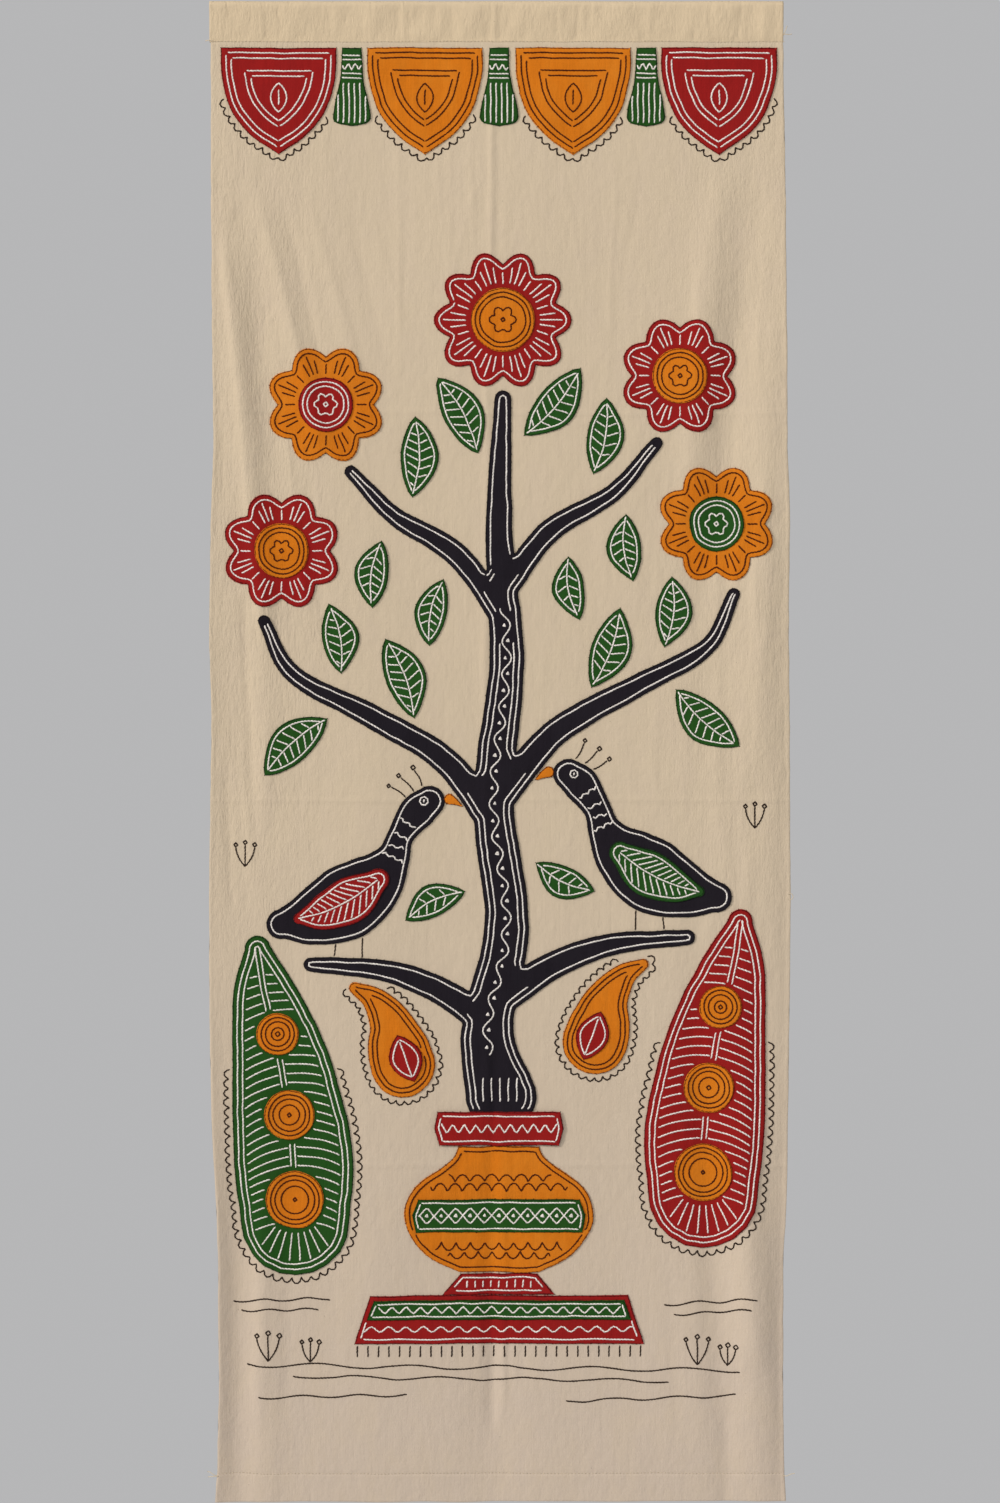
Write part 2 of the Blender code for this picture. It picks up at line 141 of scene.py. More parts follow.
# Small relief: rows of cell across, cell depth, height, seed
UNEVENNESS = [(120, 160, 1.0, 11), (44, 120, 0.45, 12)]
WRINKLES = [(18, 90, 0.30, 13), (26, 30, 0.22, 14), (9, 36, 0.20, 15), (6.5, 26, 0.10, 19)]
CRUMPLES = [(30, 150, 0.55, 17), (52, 60, 0.40, 18), (13, 46, 0.36, 20)]
CRUMPLE_SOFTNESS = 0.05
CALM_REACH = 110
CALM_FADE = 130
CALM_SHARE = 0.35
CALM_BELOW = 900

# Grid of the panel
COLUMN_STRETCHES = [  # from the left edge, to the left edge, number of columns
    (6, 190, 80), (190, 270, 32), (270, 330, 28), (330, 410, 28), (410, 594, 80)]
ROW_STRETCHES = [(57, 180, 8.6), (183, 960, 5.2), (966, 1553, 8.6)]  # top depth, bottom depth, pitch
EDGE_STEPS = [0, 0.25, 0.8, 1.6, 2.5, 3.3, 4.4, 6]
CREASE_ROWS = [427.5, 831.5, 1211]
SEAM_DEPTH = 1531.0
EDGE_WAVER = 0.35
EDGE_ROLL = 0.30
EDGE_ROLL_WIDTH = 4.4
SEAM_GROOVE = 0.22
SEAM_STEP = 0.25
SIDE_ROUND = 1.2
HEM_ROUND = 1.4

SCALLOP_HALF = [(60, 49), (59, 80), (49, 114), (29, 140), (0, 160)]  # half width, depth
TASSEL_HALF = [(10, 49), (12, 80), (19, 112), (18, 126), (0, 131)]  # half width, depth
SCALLOPS = [(-229, "red"), (-77, "orange"), (77, "orange"), (229, "red")]  # across, colour
TASSELS = [-153, 0, 153]

TREE_LIMBS = [  # each limb: rows of across, depth, width
    [(2, 1138, 74), (-12, 1070, 54), (8, 960, 46), (-6, 830, 42), (8, 690, 36), (0, 550, 28), (4, 414, 18)],
    [(-2, 1070, 34), (-60, 1030, 28), (-120, 1008, 22), (-196, 1002, 15)],
    [(4, 1036, 34), (62, 1000, 28), (122, 980, 22), (196, 974, 15)],
    [(0, 862, 34), (-56, 790, 28), (-136, 742, 24), (-214, 700, 18), (-244, 645, 13)],
    [(0, 828, 34), (60, 760, 28), (140, 714, 24), (216, 672, 18), (244, 617, 13)],
    [(4, 640, 26), (-44, 576, 24), (-108, 536, 19), (-154, 490, 13)],
    [(4, 616, 26), (52, 552, 24), (118, 512, 19), (164, 460, 13)]]

POT_PIECES = [  # name, colour, layer, steps, rows of half width and depth
    ("pot_rim", "red", 2, 1, [(64, 1155), (67, 1172), (62, 1190)]),
    ("pot_belly", "orange", 1, 4, [(42, 1191), (50, 1206), (88, 1234), (98, 1268), (76, 1304), (42, 1322)]),
    ("pot_band", "green", 2, 1, [(84, 1246), (90, 1262), (86, 1280)]),
    ("pot_foot", "red", 1, 1, [(40, 1323), (58, 1345)]),
    ("mat", "red", 1, 1, [(134, 1346), (150, 1396)]),
    ("mat_strip", "green", 2, 1, [(130, 1351), (137, 1371)])]

BIRD_BODY = [(74, -158, 32), (60, -146, 37), (44, -122, 28), (36, -100, 36), (18, -76, 62), (-14, -52, 78),
             (-52, -36, 56), (-80, -30, 32)]  # across, depth, width
BIRD_WING = [(20, -76, 24), (-6, -57, 48), (-38, -42, 36), (-62, -36, 12)]  # across, depth, width
BIRD_TAIL = [(-105, -5, 26), (-98, 40, 66), (-80, 120, 104), (-68, 210, 124), (-66, 278, 114)]
BIRD_BEAK = [(94.4, -160, 12), (100, -157.5, 8), (107, -153, 3)]  # across, depth, width
BIRD_EYE = (78, -160, 4.2)  # across, depth, radius
BIRD_CREST = [(66, -174, 58, -190), (57.5, -168.5, 44, -182), (49, -162.5, 34, -172)]  # root and tip places
BIRD_LEGS = [(-22, -24, -27, 15), (4, -26, 4, 13)]  # top and foot places
TAIL_EYES = [(-84, 84, 22), (-72, 168, 26), (-66, 256, 30)]  # across, depth, radius
BIRDS = [  # side, across, depth, flip, tail colour, wing colour
    ("left", -146, 990, 1, "green", "red"),
    ("right", 146, 962, -1, "red", "green")]

FLOWERS = [  # across, depth, radius, petals, petal colour, centre colour
    (4, 332, 72, 10, "red", "orange"),
    (-226, 572, 62, 8, "red", "orange"),
    (226, 544, 62, 8, "orange", "green"),
    (-180, 420, 62, 8, "orange", "red"),
    (188, 390, 62, 8, "red", "orange")]
PETAL_NOTCH = 0.2
CENTRE_SHARE = 0.46

LEAVES = [  # root across, root depth, turn in degrees (0 right, 90 down), length, width
    (-90, 516, -88, 84, 40), (-58, 602, 102, 70, 34), (-122, 562, 98, 70, 36),
    (98, 492, -80, 80, 38), (72, 578, 80, 66, 34), (132, 534, 84, 70, 36),
    (-22, 470, -118, 88, 42), (26, 452, -50, 92, 42),
    (-88, 746, -110, 88, 42), (-164, 700, -100, 74, 38),
    (96, 714, -70, 88, 42), (172, 672, -84, 74, 38),
    (-178, 746, 138, 88, 42), (184, 716, 42, 88, 42),
    (-36, 926, 154, 68, 34), (38, 896, 26, 68, 34)]
LEAF_BEND = 6
LEAF_FULLNESS = 0.8

PAISLEY = [(0, 0, 68), (6, -22, 62), (14, -46, 44), (30, -68, 26), (50, -80, 12)]  # across, depth, width
PAISLEY_DROP = (-12, 18, 52, 34, -70)  # root across, root depth, length, width, turn in degrees
PAISLEYS = [("left", -100, 1106, -1), ("right", 100, 1082, 1)]  # side, across, depth, flip

# Patch meshes: distances of their rings from the edge, and the shape of the turned-under edge
OUTLINE_PITCH = 3.0
CUT_WAVER = [(22, 22, 0.6, 61), (7, 7, 0.25, 62)]  # cell across, cell depth, height, seed
RING_INSETS = [0.15, 0.5, 1.0, 2.4, 4.6, 6.4]
INNER_PITCH = 4.2
BACK_PITCH = 9.0
EDGE_ROUND = 1.0
TURNED_WIDTH = 4.8
TURNED_LIFT = 0.28

# Embroidery stitches
STITCH_PITCH = 3.5
STITCH_LENGTH = 5.0
STITCH_WIDTH = 1.7
STITCHES_PER_PIECE = 8000
HAND_WOBBLE = 0.45
THREAD_OF = {"black": "white", "red": "white", "green": "white", "orange": "dark", "cream": "umber"}
LATTICE_PITCH = 30

# Linear colours
COTTONS = {  # colour, mottle, slubs, specks, faded colour, colour at the bottom end (the panel's cream turns darker and pinker there: partly its own uneven tone, partly painted shade of the dimmer light low down)
    "sleeve": ((0.602, 0.486, 0.338), 0.03, 0.09, 0.6, (0.602, 0.486, 0.338), (0.602, 0.486, 0.338)),
    "cream": ((0.565, 0.467, 0.345), 0.03, 0.09, 0.6, (0.56, 0.46, 0.352), (0.545, 0.452, 0.368)),
    "black": ((0.0125, 0.0100, 0.0145), 0.30, 0.35, 0.0, (0.016, 0.0135, 0.0185)),
    "red": ((0.262, 0.0105, 0.0100), 0.22, 0.22, 0.0, (0.235, 0.0115, 0.0120)),
    "green": ((0.0150, 0.0660, 0.0100), 0.25, 0.30, 0.0, (0.0200, 0.0740, 0.0150)),
    "orange": ((0.575, 0.160, 0.0085), 0.22, 0.22, 0.0, (0.62, 0.205, 0.018))}
WEAVE_PITCH = 1.1
# the cream drifts to its darker bottom colour between these heights: partly its own tone, partly painted
# shade
TONE_AND_SHADE_DRIFT_START = -850.0
TONE_AND_SHADE_DRIFT_END = -1450.0
CRISP_START = 130.0  # distances from the middle where the sharp crumples start and are full
CRISP_FULL = 230.0
THREAD_COLOURS = {
    "white": (0.90, 0.85, 0.81),
    "dark": (0.085, 0.014, 0.003),
    "umber": (0.035, 0.021, 0.015),
    "cream": (0.66, 0.56, 0.42),
    # threads of the slip stitches and of the close row along each patch edge, darker than their cloth:
    # partly real thread, partly painted shade of the turned-under edge
    "black": (0.0070, 0.0060, 0.0080),
    "red": (0.095, 0.0020, 0.0030),
    "green": (0.0050, 0.0240, 0.0040),
    "orange": (0.17, 0.034, 0.0030)}
COTTON_GLOSS = {'Roughness': 0.92, 'Specular IOR Level': 0.06, 'Sheen Weight': 0.02, 'Sheen Roughness': 0.5}
THREAD_GLOSS = {'Roughness': 0.7, 'Specular IOR Level': 0.12}


def ease(share):
    share = np.clip(share, 0, 1)
    return share * share * (3 - 2 * share)


def smooth(rows, steps):
    """Points on a smooth curve through the rows, column by column."""
    rows = np.array(rows, float)
    padded = np.vstack([2 * rows[0] - rows[1], rows, 2 * rows[-1] - rows[-2]])
    t = (np.arange(steps) / steps)[:, None]
    points = []
    for before, start, end, after in zip(padded, padded[1:], padded[2:], padded[3:]):
        points.append(0.5 * (2 * start + (end - before) * t
                             + (2 * before - 5 * start + 4 * end - after) * t ** 2
                             + (3 * start - before - 3 * end + after) * t ** 3))
    return np.vstack(points + [rows[-1:]])


def swell(share, power):
    """Rises from nothing at the start of a run and falls back to nothing at its end."""
    return np.maximum(np.sin(math.pi * np.clip(share, 0, 1)), 0) ** power


def unit(runs):
    return runs / np.maximum(np.linalg.norm(runs, axis=1, keepdims=True), 1e-9)


def quarter_turned(runs):
    return np.column_stack([-runs[:, 1], runs[:, 0]])


def directions(path):
    return unit(np.gradient(path, axis=0))


def sideways(path):
    """Unit vectors to one side of a path, its inner side where it runs round an outline."""
    return quarter_turned(directions(path))


def all_round(measure, loop):
    """The directions or sideways vectors of a closed outline at each of its points."""
    return measure(np.vstack([loop[-1:], loop, loop[:1]]))[1:-1]


def closed(loop):
    return np.vstack([loop, loop[:1]])


def level_line(half, depth, middle=0.0):
    return np.array([(middle - half, depth), (middle + half, depth)], float)


def stroke(rows, steps=10, cap_steps=9):
    """Outline of a round-ended stroke whose rows give across, depth and width."""
    path = smooth(rows, steps)
    spine = path[:, :2]
    sides = sideways(spine) * path[:, 2:] / 2
    angles = np.linspace(0, math.pi, cap_steps + 2)[1:-1, None]

    def cap(centre, side):
        forward = np.array([side[1], -side[0]])
        return centre + side * np.cos(angles) + forward * np.sin(angles)

    return np.vstack([spine + sides, cap(spine[-1], sides[-1]),
                      (spine - sides)[::-1], cap(spine[0], -sides[0])])


def mirrored(rows, steps):
    """Outline that is the same on both sides of the middle; rows give half width and depth."""
    path = smooth(rows, steps)
    other = path[::-1][path[::-1][:, 0] > 0] * (-1, 1)
    return np.vstack([path, other])


def petalled(radius, petals, notch, steps):
    """Round outline whose edge dips between its petals."""
    angles = 2 * math.pi * np.arange(petals * steps) / (petals * steps)
    reach = radius * (1 - notch + notch * np.abs(np.sin(petals * angles / 2)))
    return np.column_stack([reach * np.sin(angles), -reach * np.cos(angles)])


def disc(radius, count):
    return petalled(radius, count, 0, 1)


def leaf(length, width, bend, steps=24):
    """Outline of a pointed leaf that starts at its root and bends to one side."""
    shares = np.linspace(0, 1, steps + 1)
    halves = width / 2 * swell(shares, LEAF_FULLNESS)
    middle = bend * np.sin(math.pi * shares)
    upper = np.column_stack([length * shares, middle + halves])
    lower = np.column_stack([length * shares, middle - halves])
    return np.vstack([upper, lower[-2:0:-1]])


def placed(points, across, depth, turn=0, flip=1):
    """The points flipped, turned and moved to their place on the panel."""
    angle = math.radians(turn)
    cosine, sine = math.cos(angle), math.sin(angle)
    x, y = np.array(points, float).T
    return np.column_stack([across + cosine * flip * x - sine * y, depth + sine * flip * x + cosine * y])


def counterclockwise(outline):
    after = np.roll(outline, -1, axis=0)
    doubled_area = np.sum(outline[:, 0] * after[:, 1] - outline[:, 1] * after[:, 0])
    return outline if doubled_area > 0 else outline[::-1]


def path_lengths(path):
    """Distance along the path of each of its points."""
    return np.concatenate([[0], np.cumsum(np.linalg.norm(np.diff(path, axis=0), axis=1))])


def resampled(path, spacing):
    """The path with evenly spaced points, about one spacing apart."""
    lengths = path_lengths(path)
    count = max(1, round(lengths[-1] / spacing))
    marks = np.linspace(0, lengths[-1], count + 1)
    return np.column_stack([np.interp(marks, lengths, path[:, axis]) for axis in range(2)])


def evened(loop, spacing, corner_angle=28):
    """The closed outline with evenly spaced points between its corners."""
    loop = counterclockwise(loop)
    before = loop - np.roll(loop, 1, axis=0)
    after = np.roll(loop, -1, axis=0) - loop
    cross = before[:, 0] * after[:, 1] - before[:, 1] * after[:, 0]
    turn = np.arctan2(cross, np.sum(before * after, axis=1))
    corners = np.flatnonzero(np.abs(turn) > math.radians(corner_angle))
    if len(corners) == 0:
        corners = np.array([0])
    loop = np.roll(loop, -corners[0], axis=0)
    stops = list(corners - corners[0]) + [len(loop)]
    stretches = [closed(loop)[start:end + 1] for start, end in zip(stops, stops[1:])]
    return np.vstack([resampled(stretch, spacing)[:-1] for stretch in stretches])


def joined_outline(outlines):
    """Outer boundary of the area that the outlines cover together."""
    points, faces = [], []
    for outline in outlines:
        first = len(points)
        points += [Vector(point) for point in counterclockwise(outline)]
        faces.append(list(range(first, len(points))))
    corners, _, triangles, _, _, origins = geometry.delaunay_2d_cdt(points, [], faces, 0, 0.01)
    sides = set()
    for triangle, origin in zip(triangles, origins):
        if origin:
            sides.update(zip(triangle, triangle[1:] + triangle[:1]))
    follow = {start: end for start, end in sorted(sides) if (end, start) not in sides}
    loops = []
    while follow:
        start, end = next(iter(follow.items()))
        loop = []
        while start in follow:
            loop.append(corners[start])
            start = follow.pop(start)
        loops.append(loop)
    return np.array([tuple(corner) for corner in max(loops, key=len)])


MOST_PAIRS = 1000000


def in_chunks(points, loop):
    """The points in parts small enough to be measured against the whole outline at once."""
    return np.array_split(points, max(1, len(points) * len(loop) // MOST_PAIRS))


def distance_to(points, loop):
    """Shortest distance from each point to the closed outline."""
    run = np.roll(loop, -1, axis=0) - loop
    squares = np.maximum(np.sum(run * run, axis=1), 1e-12)
    parts = []
    for chunk in in_chunks(points, loop):
        offset = chunk[:, None, :] - loop[None]
        share = np.clip(np.sum(offset * run, axis=2) / squares, 0, 1)
        gap = offset - share[..., None] * run
        parts.append(np.sqrt(np.min(np.sum(gap * gap, axis=2), axis=1)))
    return np.concatenate(parts)


def inside(points, loop):
    """True for each point that lies within the closed outline."""
    after = np.roll(loop, -1, axis=0)
    rise = after[:, 1] - loop[:, 1]
    rise = np.where(rise == 0, 1e-12, rise)
    parts = []
    for chunk in in_chunks(points, loop):
        x, y = chunk[:, :1], chunk[:, 1:]
        spans = (loop[:, 1] > y) != (after[:, 1] > y)
        crossing = loop[:, 0] + (y - loop[:, 1]) * (after[:, 0] - loop[:, 0]) / rise
        parts.append(np.sum(spans & (x < crossing), axis=1) % 2 == 1)
    return np.concatenate(parts)


NOISE_CELLS = 128


def noise(across, depth, cell_across, cell_depth, seed):
    """Smooth unevenness from -1 to 1, its cells of the given size."""
    values = np.random.default_rng(seed).uniform(-1, 1, (NOISE_CELLS, NOISE_CELLS))
    u = np.asarray(across) / cell_across + NOISE_CELLS // 2
    v = np.asarray(depth) / cell_depth + NOISE_CELLS // 2
    column, row = np.floor(u).astype(int), np.floor(v).astype(int)
    u, v = ease(u - column), ease(v - row)
    left, right = column % NOISE_CELLS, (column + 1) % NOISE_CELLS
    top, low = row % NOISE_CELLS, (row + 1) % NOISE_CELLS
    return ((values[top, left] * (1 - u) + values[top, right] * u) * (1 - v)
            + (values[low, left] * (1 - u) + values[low, right] * u) * v)


def relief(table, across, depth):
    """Sum of the table's layers of noise."""
    return sum(height * noise(across, depth, cell_across, cell_depth, seed)
               for cell_across, cell_depth, height, seed in table)


def panel_edge(depth, side):
    """Where the panel's left edge, side -1, or its right one, side 1, runs at each depth."""
    depths, left, right = np.array(PANEL_SIDES, float).T
    return np.interp(depth, depths, right if side > 0 else left)


def cloth_lift(across, depth):
    """How far the folds, creases and unevenness bring the cloth forward at each place."""
    across, depth = np.asarray(across, float), np.asarray(depth, float)
    folds = np.zeros(np.broadcast(across, depth).shape)
    for top_across, top_depth, bottom_across, bottom_depth, half_width, height in MAIN_FOLDS:
        along = np.clip((depth - top_depth) / (bottom_depth - top_depth), 0, 1)
        offset = across - (top_across + along * (bottom_across - top_across))
        folds += height * swell(along, FOLD_END_POWER) * np.exp(-(offset / half_width) ** 2)
    folds *= ease((depth - PANEL_TOP) / FADE_BELOW_TOP)
    small = np.zeros(folds.shape)
    waver = CREASE_WAVER * noise(across, depth, 70, 70, 3)
    for start_across, start_depth, end_across, end_depth, wide_left, wide_right, height in CREASES:
        run_across, run_depth = end_across - start_across, end_depth - start_depth
        length = math.hypot(run_across, run_depth)
        along = ((across - start_across) * run_across + (depth - start_depth) * run_depth) / length ** 2
        offset = ((across - start_across) * run_depth - (depth - start_depth) * run_across) / length + waver
        fade = min(CREASE_FADE / length, 0.4)
        ends = ease(along / fade) * ease((1 - along) / fade)
        small += height * ends * np.exp(-(offset / np.where(offset < 0, wide_left, wide_right)) ** 2)
    for side, top, bottom, reach, height in EDGE_CURLS:
        inset = side * (panel_edge(depth, side) - across)
        along = (depth - top) / (bottom - top)
        small += height * swell(along, CURL_END_POWER) * np.exp(-(inset / reach) ** 2)
    small += relief(UNEVENNESS, across, depth)
    lively = CALM_SHARE + (1 - CALM_SHARE) * ease((np.abs(across) - CALM_REACH) / CALM_FADE)
    lively = lively * (0.7 + 0.5 * noise(across, depth, 90, 150, 16))
    upper = 1 - 0.6 * ease((depth - CALM_BELOW) / 400)
    for cell_across, cell_depth, height, seed in CRUMPLES:
        sharpened = np.hypot(noise(across, depth, cell_across, cell_depth, seed), CRUMPLE_SOFTNESS)
        small += height * lively * upper * (0.4 - sharpened)
    small += lively * (0.4 + 0.6 * upper) * relief(WRINKLES, across, depth)
    return folds + small * ease((depth - PANEL_TOP) / 25)


# Map of the highest cloth at each millimetre: its lift above the folded panel's middle, and whose it is
MAP_LEFT = -320
MAP_TOP = -5
surface_map = np.full((1580, 641), PANEL_THICK / 2)
owner_map = np.zeros(surface_map.shape, int)
patches = {}


def map_cells(points):
    columns = np.clip(np.round(points[:, 0] - MAP_LEFT).astype(int), 0, surface_map.shape[1] - 1)
    rows = np.clip(np.round(points[:, 1] - MAP_TOP).astype(int), 0, surface_map.shape[0] - 1)
    return rows, columns


def owners(points):
    """Number of the patch on top at each place, 0 for the panel."""
    rows, columns = map_cells(points)
    return owner_map[rows, columns]


def enter_on_map(points, lifts, triangles, number):
    """Write the triangles' lifts and their patch's number into the maps."""
    step = 9
    weights = np.array([(i, j, step - i - j) for i in range(step + 1) for j in range(step + 1 - i)]) / step
    samples = np.einsum('sk,tkd->tsd', weights, points[triangles]).reshape(-1, 2)
    heights = np.einsum('sk,tk->ts', weights, lifts[triangles]).reshape(-1)
    rows, columns = map_cells(samples)
    surface_map[rows, columns] = heights
    owner_map[rows, columns] = number


def surface_lift(points):
    """Lift of the highest cloth's face at each place."""
    u = np.clip(points[:, 0] - MAP_LEFT, 0, surface_map.shape[1] - 1.001)
    v = np.clip(points[:, 1] - MAP_TOP, 0, surface_map.shape[0] - 1.001)
    column, row = u.astype(int), v.astype(int)
    u, v = u - column, v - row
    above = surface_map[row, column] * (1 - u) + surface_map[row, column + 1] * u
    below = surface_map[row + 1, column] * (1 - u) + surface_map[row + 1, column + 1] * u
    return above * (1 - v) + below * v + cloth_lift(points[:, 0], points[:, 1])


def add_object(name, data):
    made = bpy.data.objects.new(name, data)
    bpy.context.scene.collection.objects.link(made)
    return made


def add_piece(name, verts, faces, material, attribute=None):
    """Make one shown piece from places and lifts in millimetres."""
    mesh = bpy.data.meshes.new(name)
    across, depth, lift = np.asarray(verts, float).T
    places = np.column_stack([across, -lift, -depth]) * MM
    mesh.from_pydata(places.tolist(), [], faces)
    mesh.polygons.foreach_set("use_smooth", [True] * len(mesh.polygons))
    if attribute is not None:
        layer = mesh.attributes.new("thread", 'FLOAT_VECTOR', 'POINT')
        layer.data.foreach_set("vector", np.asarray(attribute, np.float32).ravel())
    mesh.materials.append(material)
    piece = add_object(name, mesh)
    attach(piece, "root")
    return piece


def grid_faces(rows, columns, first=0, flip=False):
    """Quads of a grid of points stored row by row."""
    row, column = np.mgrid[0:rows - 1, 0:columns - 1]
    corner = first + row.ravel() * columns + column.ravel()
    quads = np.column_stack([corner, corner + columns, corner + columns + 1, corner + 1])
    return (quads[:, ::-1] if flip else quads).tolist()


def strip_faces(one, other):
    """Quads between two lines of points."""
    return [[one[i], other[i], other[i + 1], one[i + 1]] for i in range(len(one) - 1)]


class Shading:
    """A new material, with short ways to add nodes to it."""

    def __init__(self, name):
        self.material = bpy.data.materials.new(name)
        self.material.use_nodes = True
        self.tree = self.material.node_tree
        self.inputs = self.tree.nodes['Principled BSDF'].inputs

    def link(self, socket, value):
        if isinstance(value, bpy.types.NodeSocket):
            self.tree.links.new(value, socket)
        else:
            socket.default_value = value

    def add(self, kind, inputs, **settings):
        node = self.tree.nodes.new(f"ShaderNode{kind}")
        for key, value in settings.items():
            setattr(node, key, value)
        for key, value in inputs.items():
            self.link(node.inputs[key], value)
        return node

    def math(self, operation, first, second=0.0, third=0.0):
        return self.add('Math', {0: first, 1: second, 2: third}, operation=operation).outputs[0]

    def noise(self, places, stretch, detail=2.0, roughness=0.5):
        """Noise whose cells per millimetre are given for each direction."""
        scaled = self.add('Mapping', {'Vector': places, 'Scale': stretch}).outputs[0]
        inputs = {'Vector': scaled, 'Scale': 1.0, 'Detail': detail, 'Roughness': roughness}
        return self.add('TexNoise', inputs).outputs[0]

    def ranged(self, value, low, high, start, end):
        """The value's span from low to high turned into the span from start to end."""
        return self.add('MapRange', {0: value, 1: low, 2: high, 3: start, 4: end}).outputs[0]

    def mixed(self, share, first, second):
        return self.add('Mix', {0: share, 6: first, 7: second}, data_type='RGBA').outputs[2]

    def scaled(self, colour, share):
        return self.add('VectorMath', {0: colour, 'Scale': share}, operation='SCALE').outputs[0]

    def finish(self, colour, height, depth, gloss):
        """Link the colour and the bump, and set the gloss on the shader's own sockets."""
        self.link(self.inputs['Base Color'], colour)
        bump = self.add('Bump', {'Height': height, 'Strength': 1.0, 'Distance': depth})
        self.link(self.inputs['Normal'], bump.outputs[0])
        for socket, value in gloss.items():
            self.inputs[socket].default_value = value
        return self.material


def crisp_relief(nodes, places, x, z):
    """Small sharp crumples, there near the panel's sides and on the sleeve."""
    waves = nodes.noise(places, (0.20, 0.20, 0.055), 3.0, 0.55)
    folded = nodes.math('ABSOLUTE', nodes.math('SUBTRACT', waves, 0.5))
    left = nodes.ranged(x, -CRISP_START, -CRISP_FULL, 0.0, 1.05)
    right = nodes.ranged(x, CRISP_START, CRISP_FULL, 0.0, 0.7)
    above = nodes.ranged(z, -1150.0, -850.0, 0.3, 1.0)
    on_sleeve = nodes.ranged(z, -46.0, -38.0, 0.0, 0.7)
    on_panel = nodes.math('MULTIPLY', nodes.math('MAXIMUM', left, right), above)
    return nodes.math('MULTIPLY', folded, nodes.math('MAXIMUM', on_panel, on_sleeve))


def cotton(name, colour, mottle, slubs, specks, faded, low=None):
    """Plain-weave cotton: uneven dye, slubs along warp and weft, seed specks, weave and crumple bump.

    Low is the colour that the cloth drifts to towards its bottom end: partly its own uneven tone, partly
    painted shade of the dimmer light there.
    """
    nodes = Shading(name)
    metres = nodes.add('TexCoord', {}).outputs['Object']
    places = nodes.add('Mapping', {'Vector': metres, 'Scale': (1 / MM, 1 / MM, 1 / MM)}).outputs[0]
    x, _, z = nodes.add('SeparateXYZ', {0: places}).outputs
    clouds = nodes.noise(places, (0.016, 0.016, 0.010), 4.0, 0.6)
    blotches = nodes.noise(places, (0.11, 0.11, 0.05), 3.0, 0.6)
    warp = nodes.noise(places, (0.75, 0.75, 0.022))
    weft = nodes.noise(places, (0.03, 0.03, 0.85))
    grain = nodes.noise(places, (1.4, 1.4, 0.9))
    shade = 1.0
    shares = (mottle, mottle * 0.7, slubs, slubs * 0.6, slubs * 0.7)
    for unevenness, share in zip((clouds, blotches, warp, weft, grain), shares):
        shade = nodes.math('MULTIPLY_ADD', unevenness, share, nodes.math('SUBTRACT', shade, share / 2))
    base = colour
    if low:
        # painted shade together with the cloth's own tone: darker and pinker towards the bottom end
        base = nodes.mixed(nodes.ranged(z, TONE_AND_SHADE_DRIFT_START, TONE_AND_SHADE_DRIFT_END, 0.0, 1.0), (*colour, 1), (*low, 1))
    fade = nodes.ranged(nodes.noise(places, (0.035, 0.035, 0.018), 3.0, 0.65), 0.42, 0.75, 0.0, 0.6)
    base = nodes.mixed(fade, nodes.scaled(base, shade), (*faded, 1))
    if specks:
        cells = nodes.add('TexVoronoi', {'Vector': places, 'Scale': 0.045, 'Randomness': 1.0})
        near = nodes.ranged(cells.outputs[0], 0.012, 0.03, specks, 0.0)
        base = nodes.mixed(near, base, nodes.scaled(colour, 0.35))
    turns = [nodes.math('MULTIPLY', along, 2 * math.pi / WEAVE_PITCH) for along in (x, z)]
    threads = [nodes.math('SINE', turn) for turn in turns]
    height = nodes.math('MULTIPLY', nodes.math('MULTIPLY', *threads), 0.05)
    crumple = nodes.noise(places, (0.10, 0.10, 0.06), 4.0, 0.6)
    for part, share in ((warp, 0.16), (weft, 0.10), (grain, 0.12), (crumple, 1.1)):
        height = nodes.math('MULTIPLY_ADD', part, share, height)
    if low:
        height = nodes.math('MULTIPLY_ADD', crisp_relief(nodes, places, x, z), -1.8, height)
    return nodes.finish(base, height, MM, COTTON_GLOSS)


def thread(name, colour):
    """Twisted embroidery cotton, each stitch a little lighter or darker than the next; its twist adds
    painted shade and highlight.
    """
    nodes = Shading(name)
    record = nodes.add('Attribute', {}, attribute_name="thread").outputs['Vector']
    along, around, shade = nodes.add('SeparateXYZ', {0: record}).outputs
    turns = nodes.math('MULTIPLY_ADD', around, 2.0, nodes.math('MULTIPLY', along, 0.9))
    ply = nodes.math('SINE', nodes.math('MULTIPLY', turns, 2 * math.pi))
    # painted shade and highlight: the ply wave darkens the grooves of the twist and lightens the plies; the
    # record's third value adds each stitch's random tone
    tone_and_ply_shade = nodes.math('MULTIPLY_ADD', ply, 0.10, nodes.math('MULTIPLY_ADD', shade, 0.25, 0.82))
    return nodes.finish(nodes.scaled(colour, tone_and_ply_shade), ply, 0.12 * MM, THREAD_GLOSS)


CLOTH_MATERIALS = {name: cotton(f"{name}_cotton", *row) for name, row in COTTONS.items()}
THREAD_MATERIALS = {name: thread(f"{name}_thread", colour) for name, colour in THREAD_COLOURS.items()}


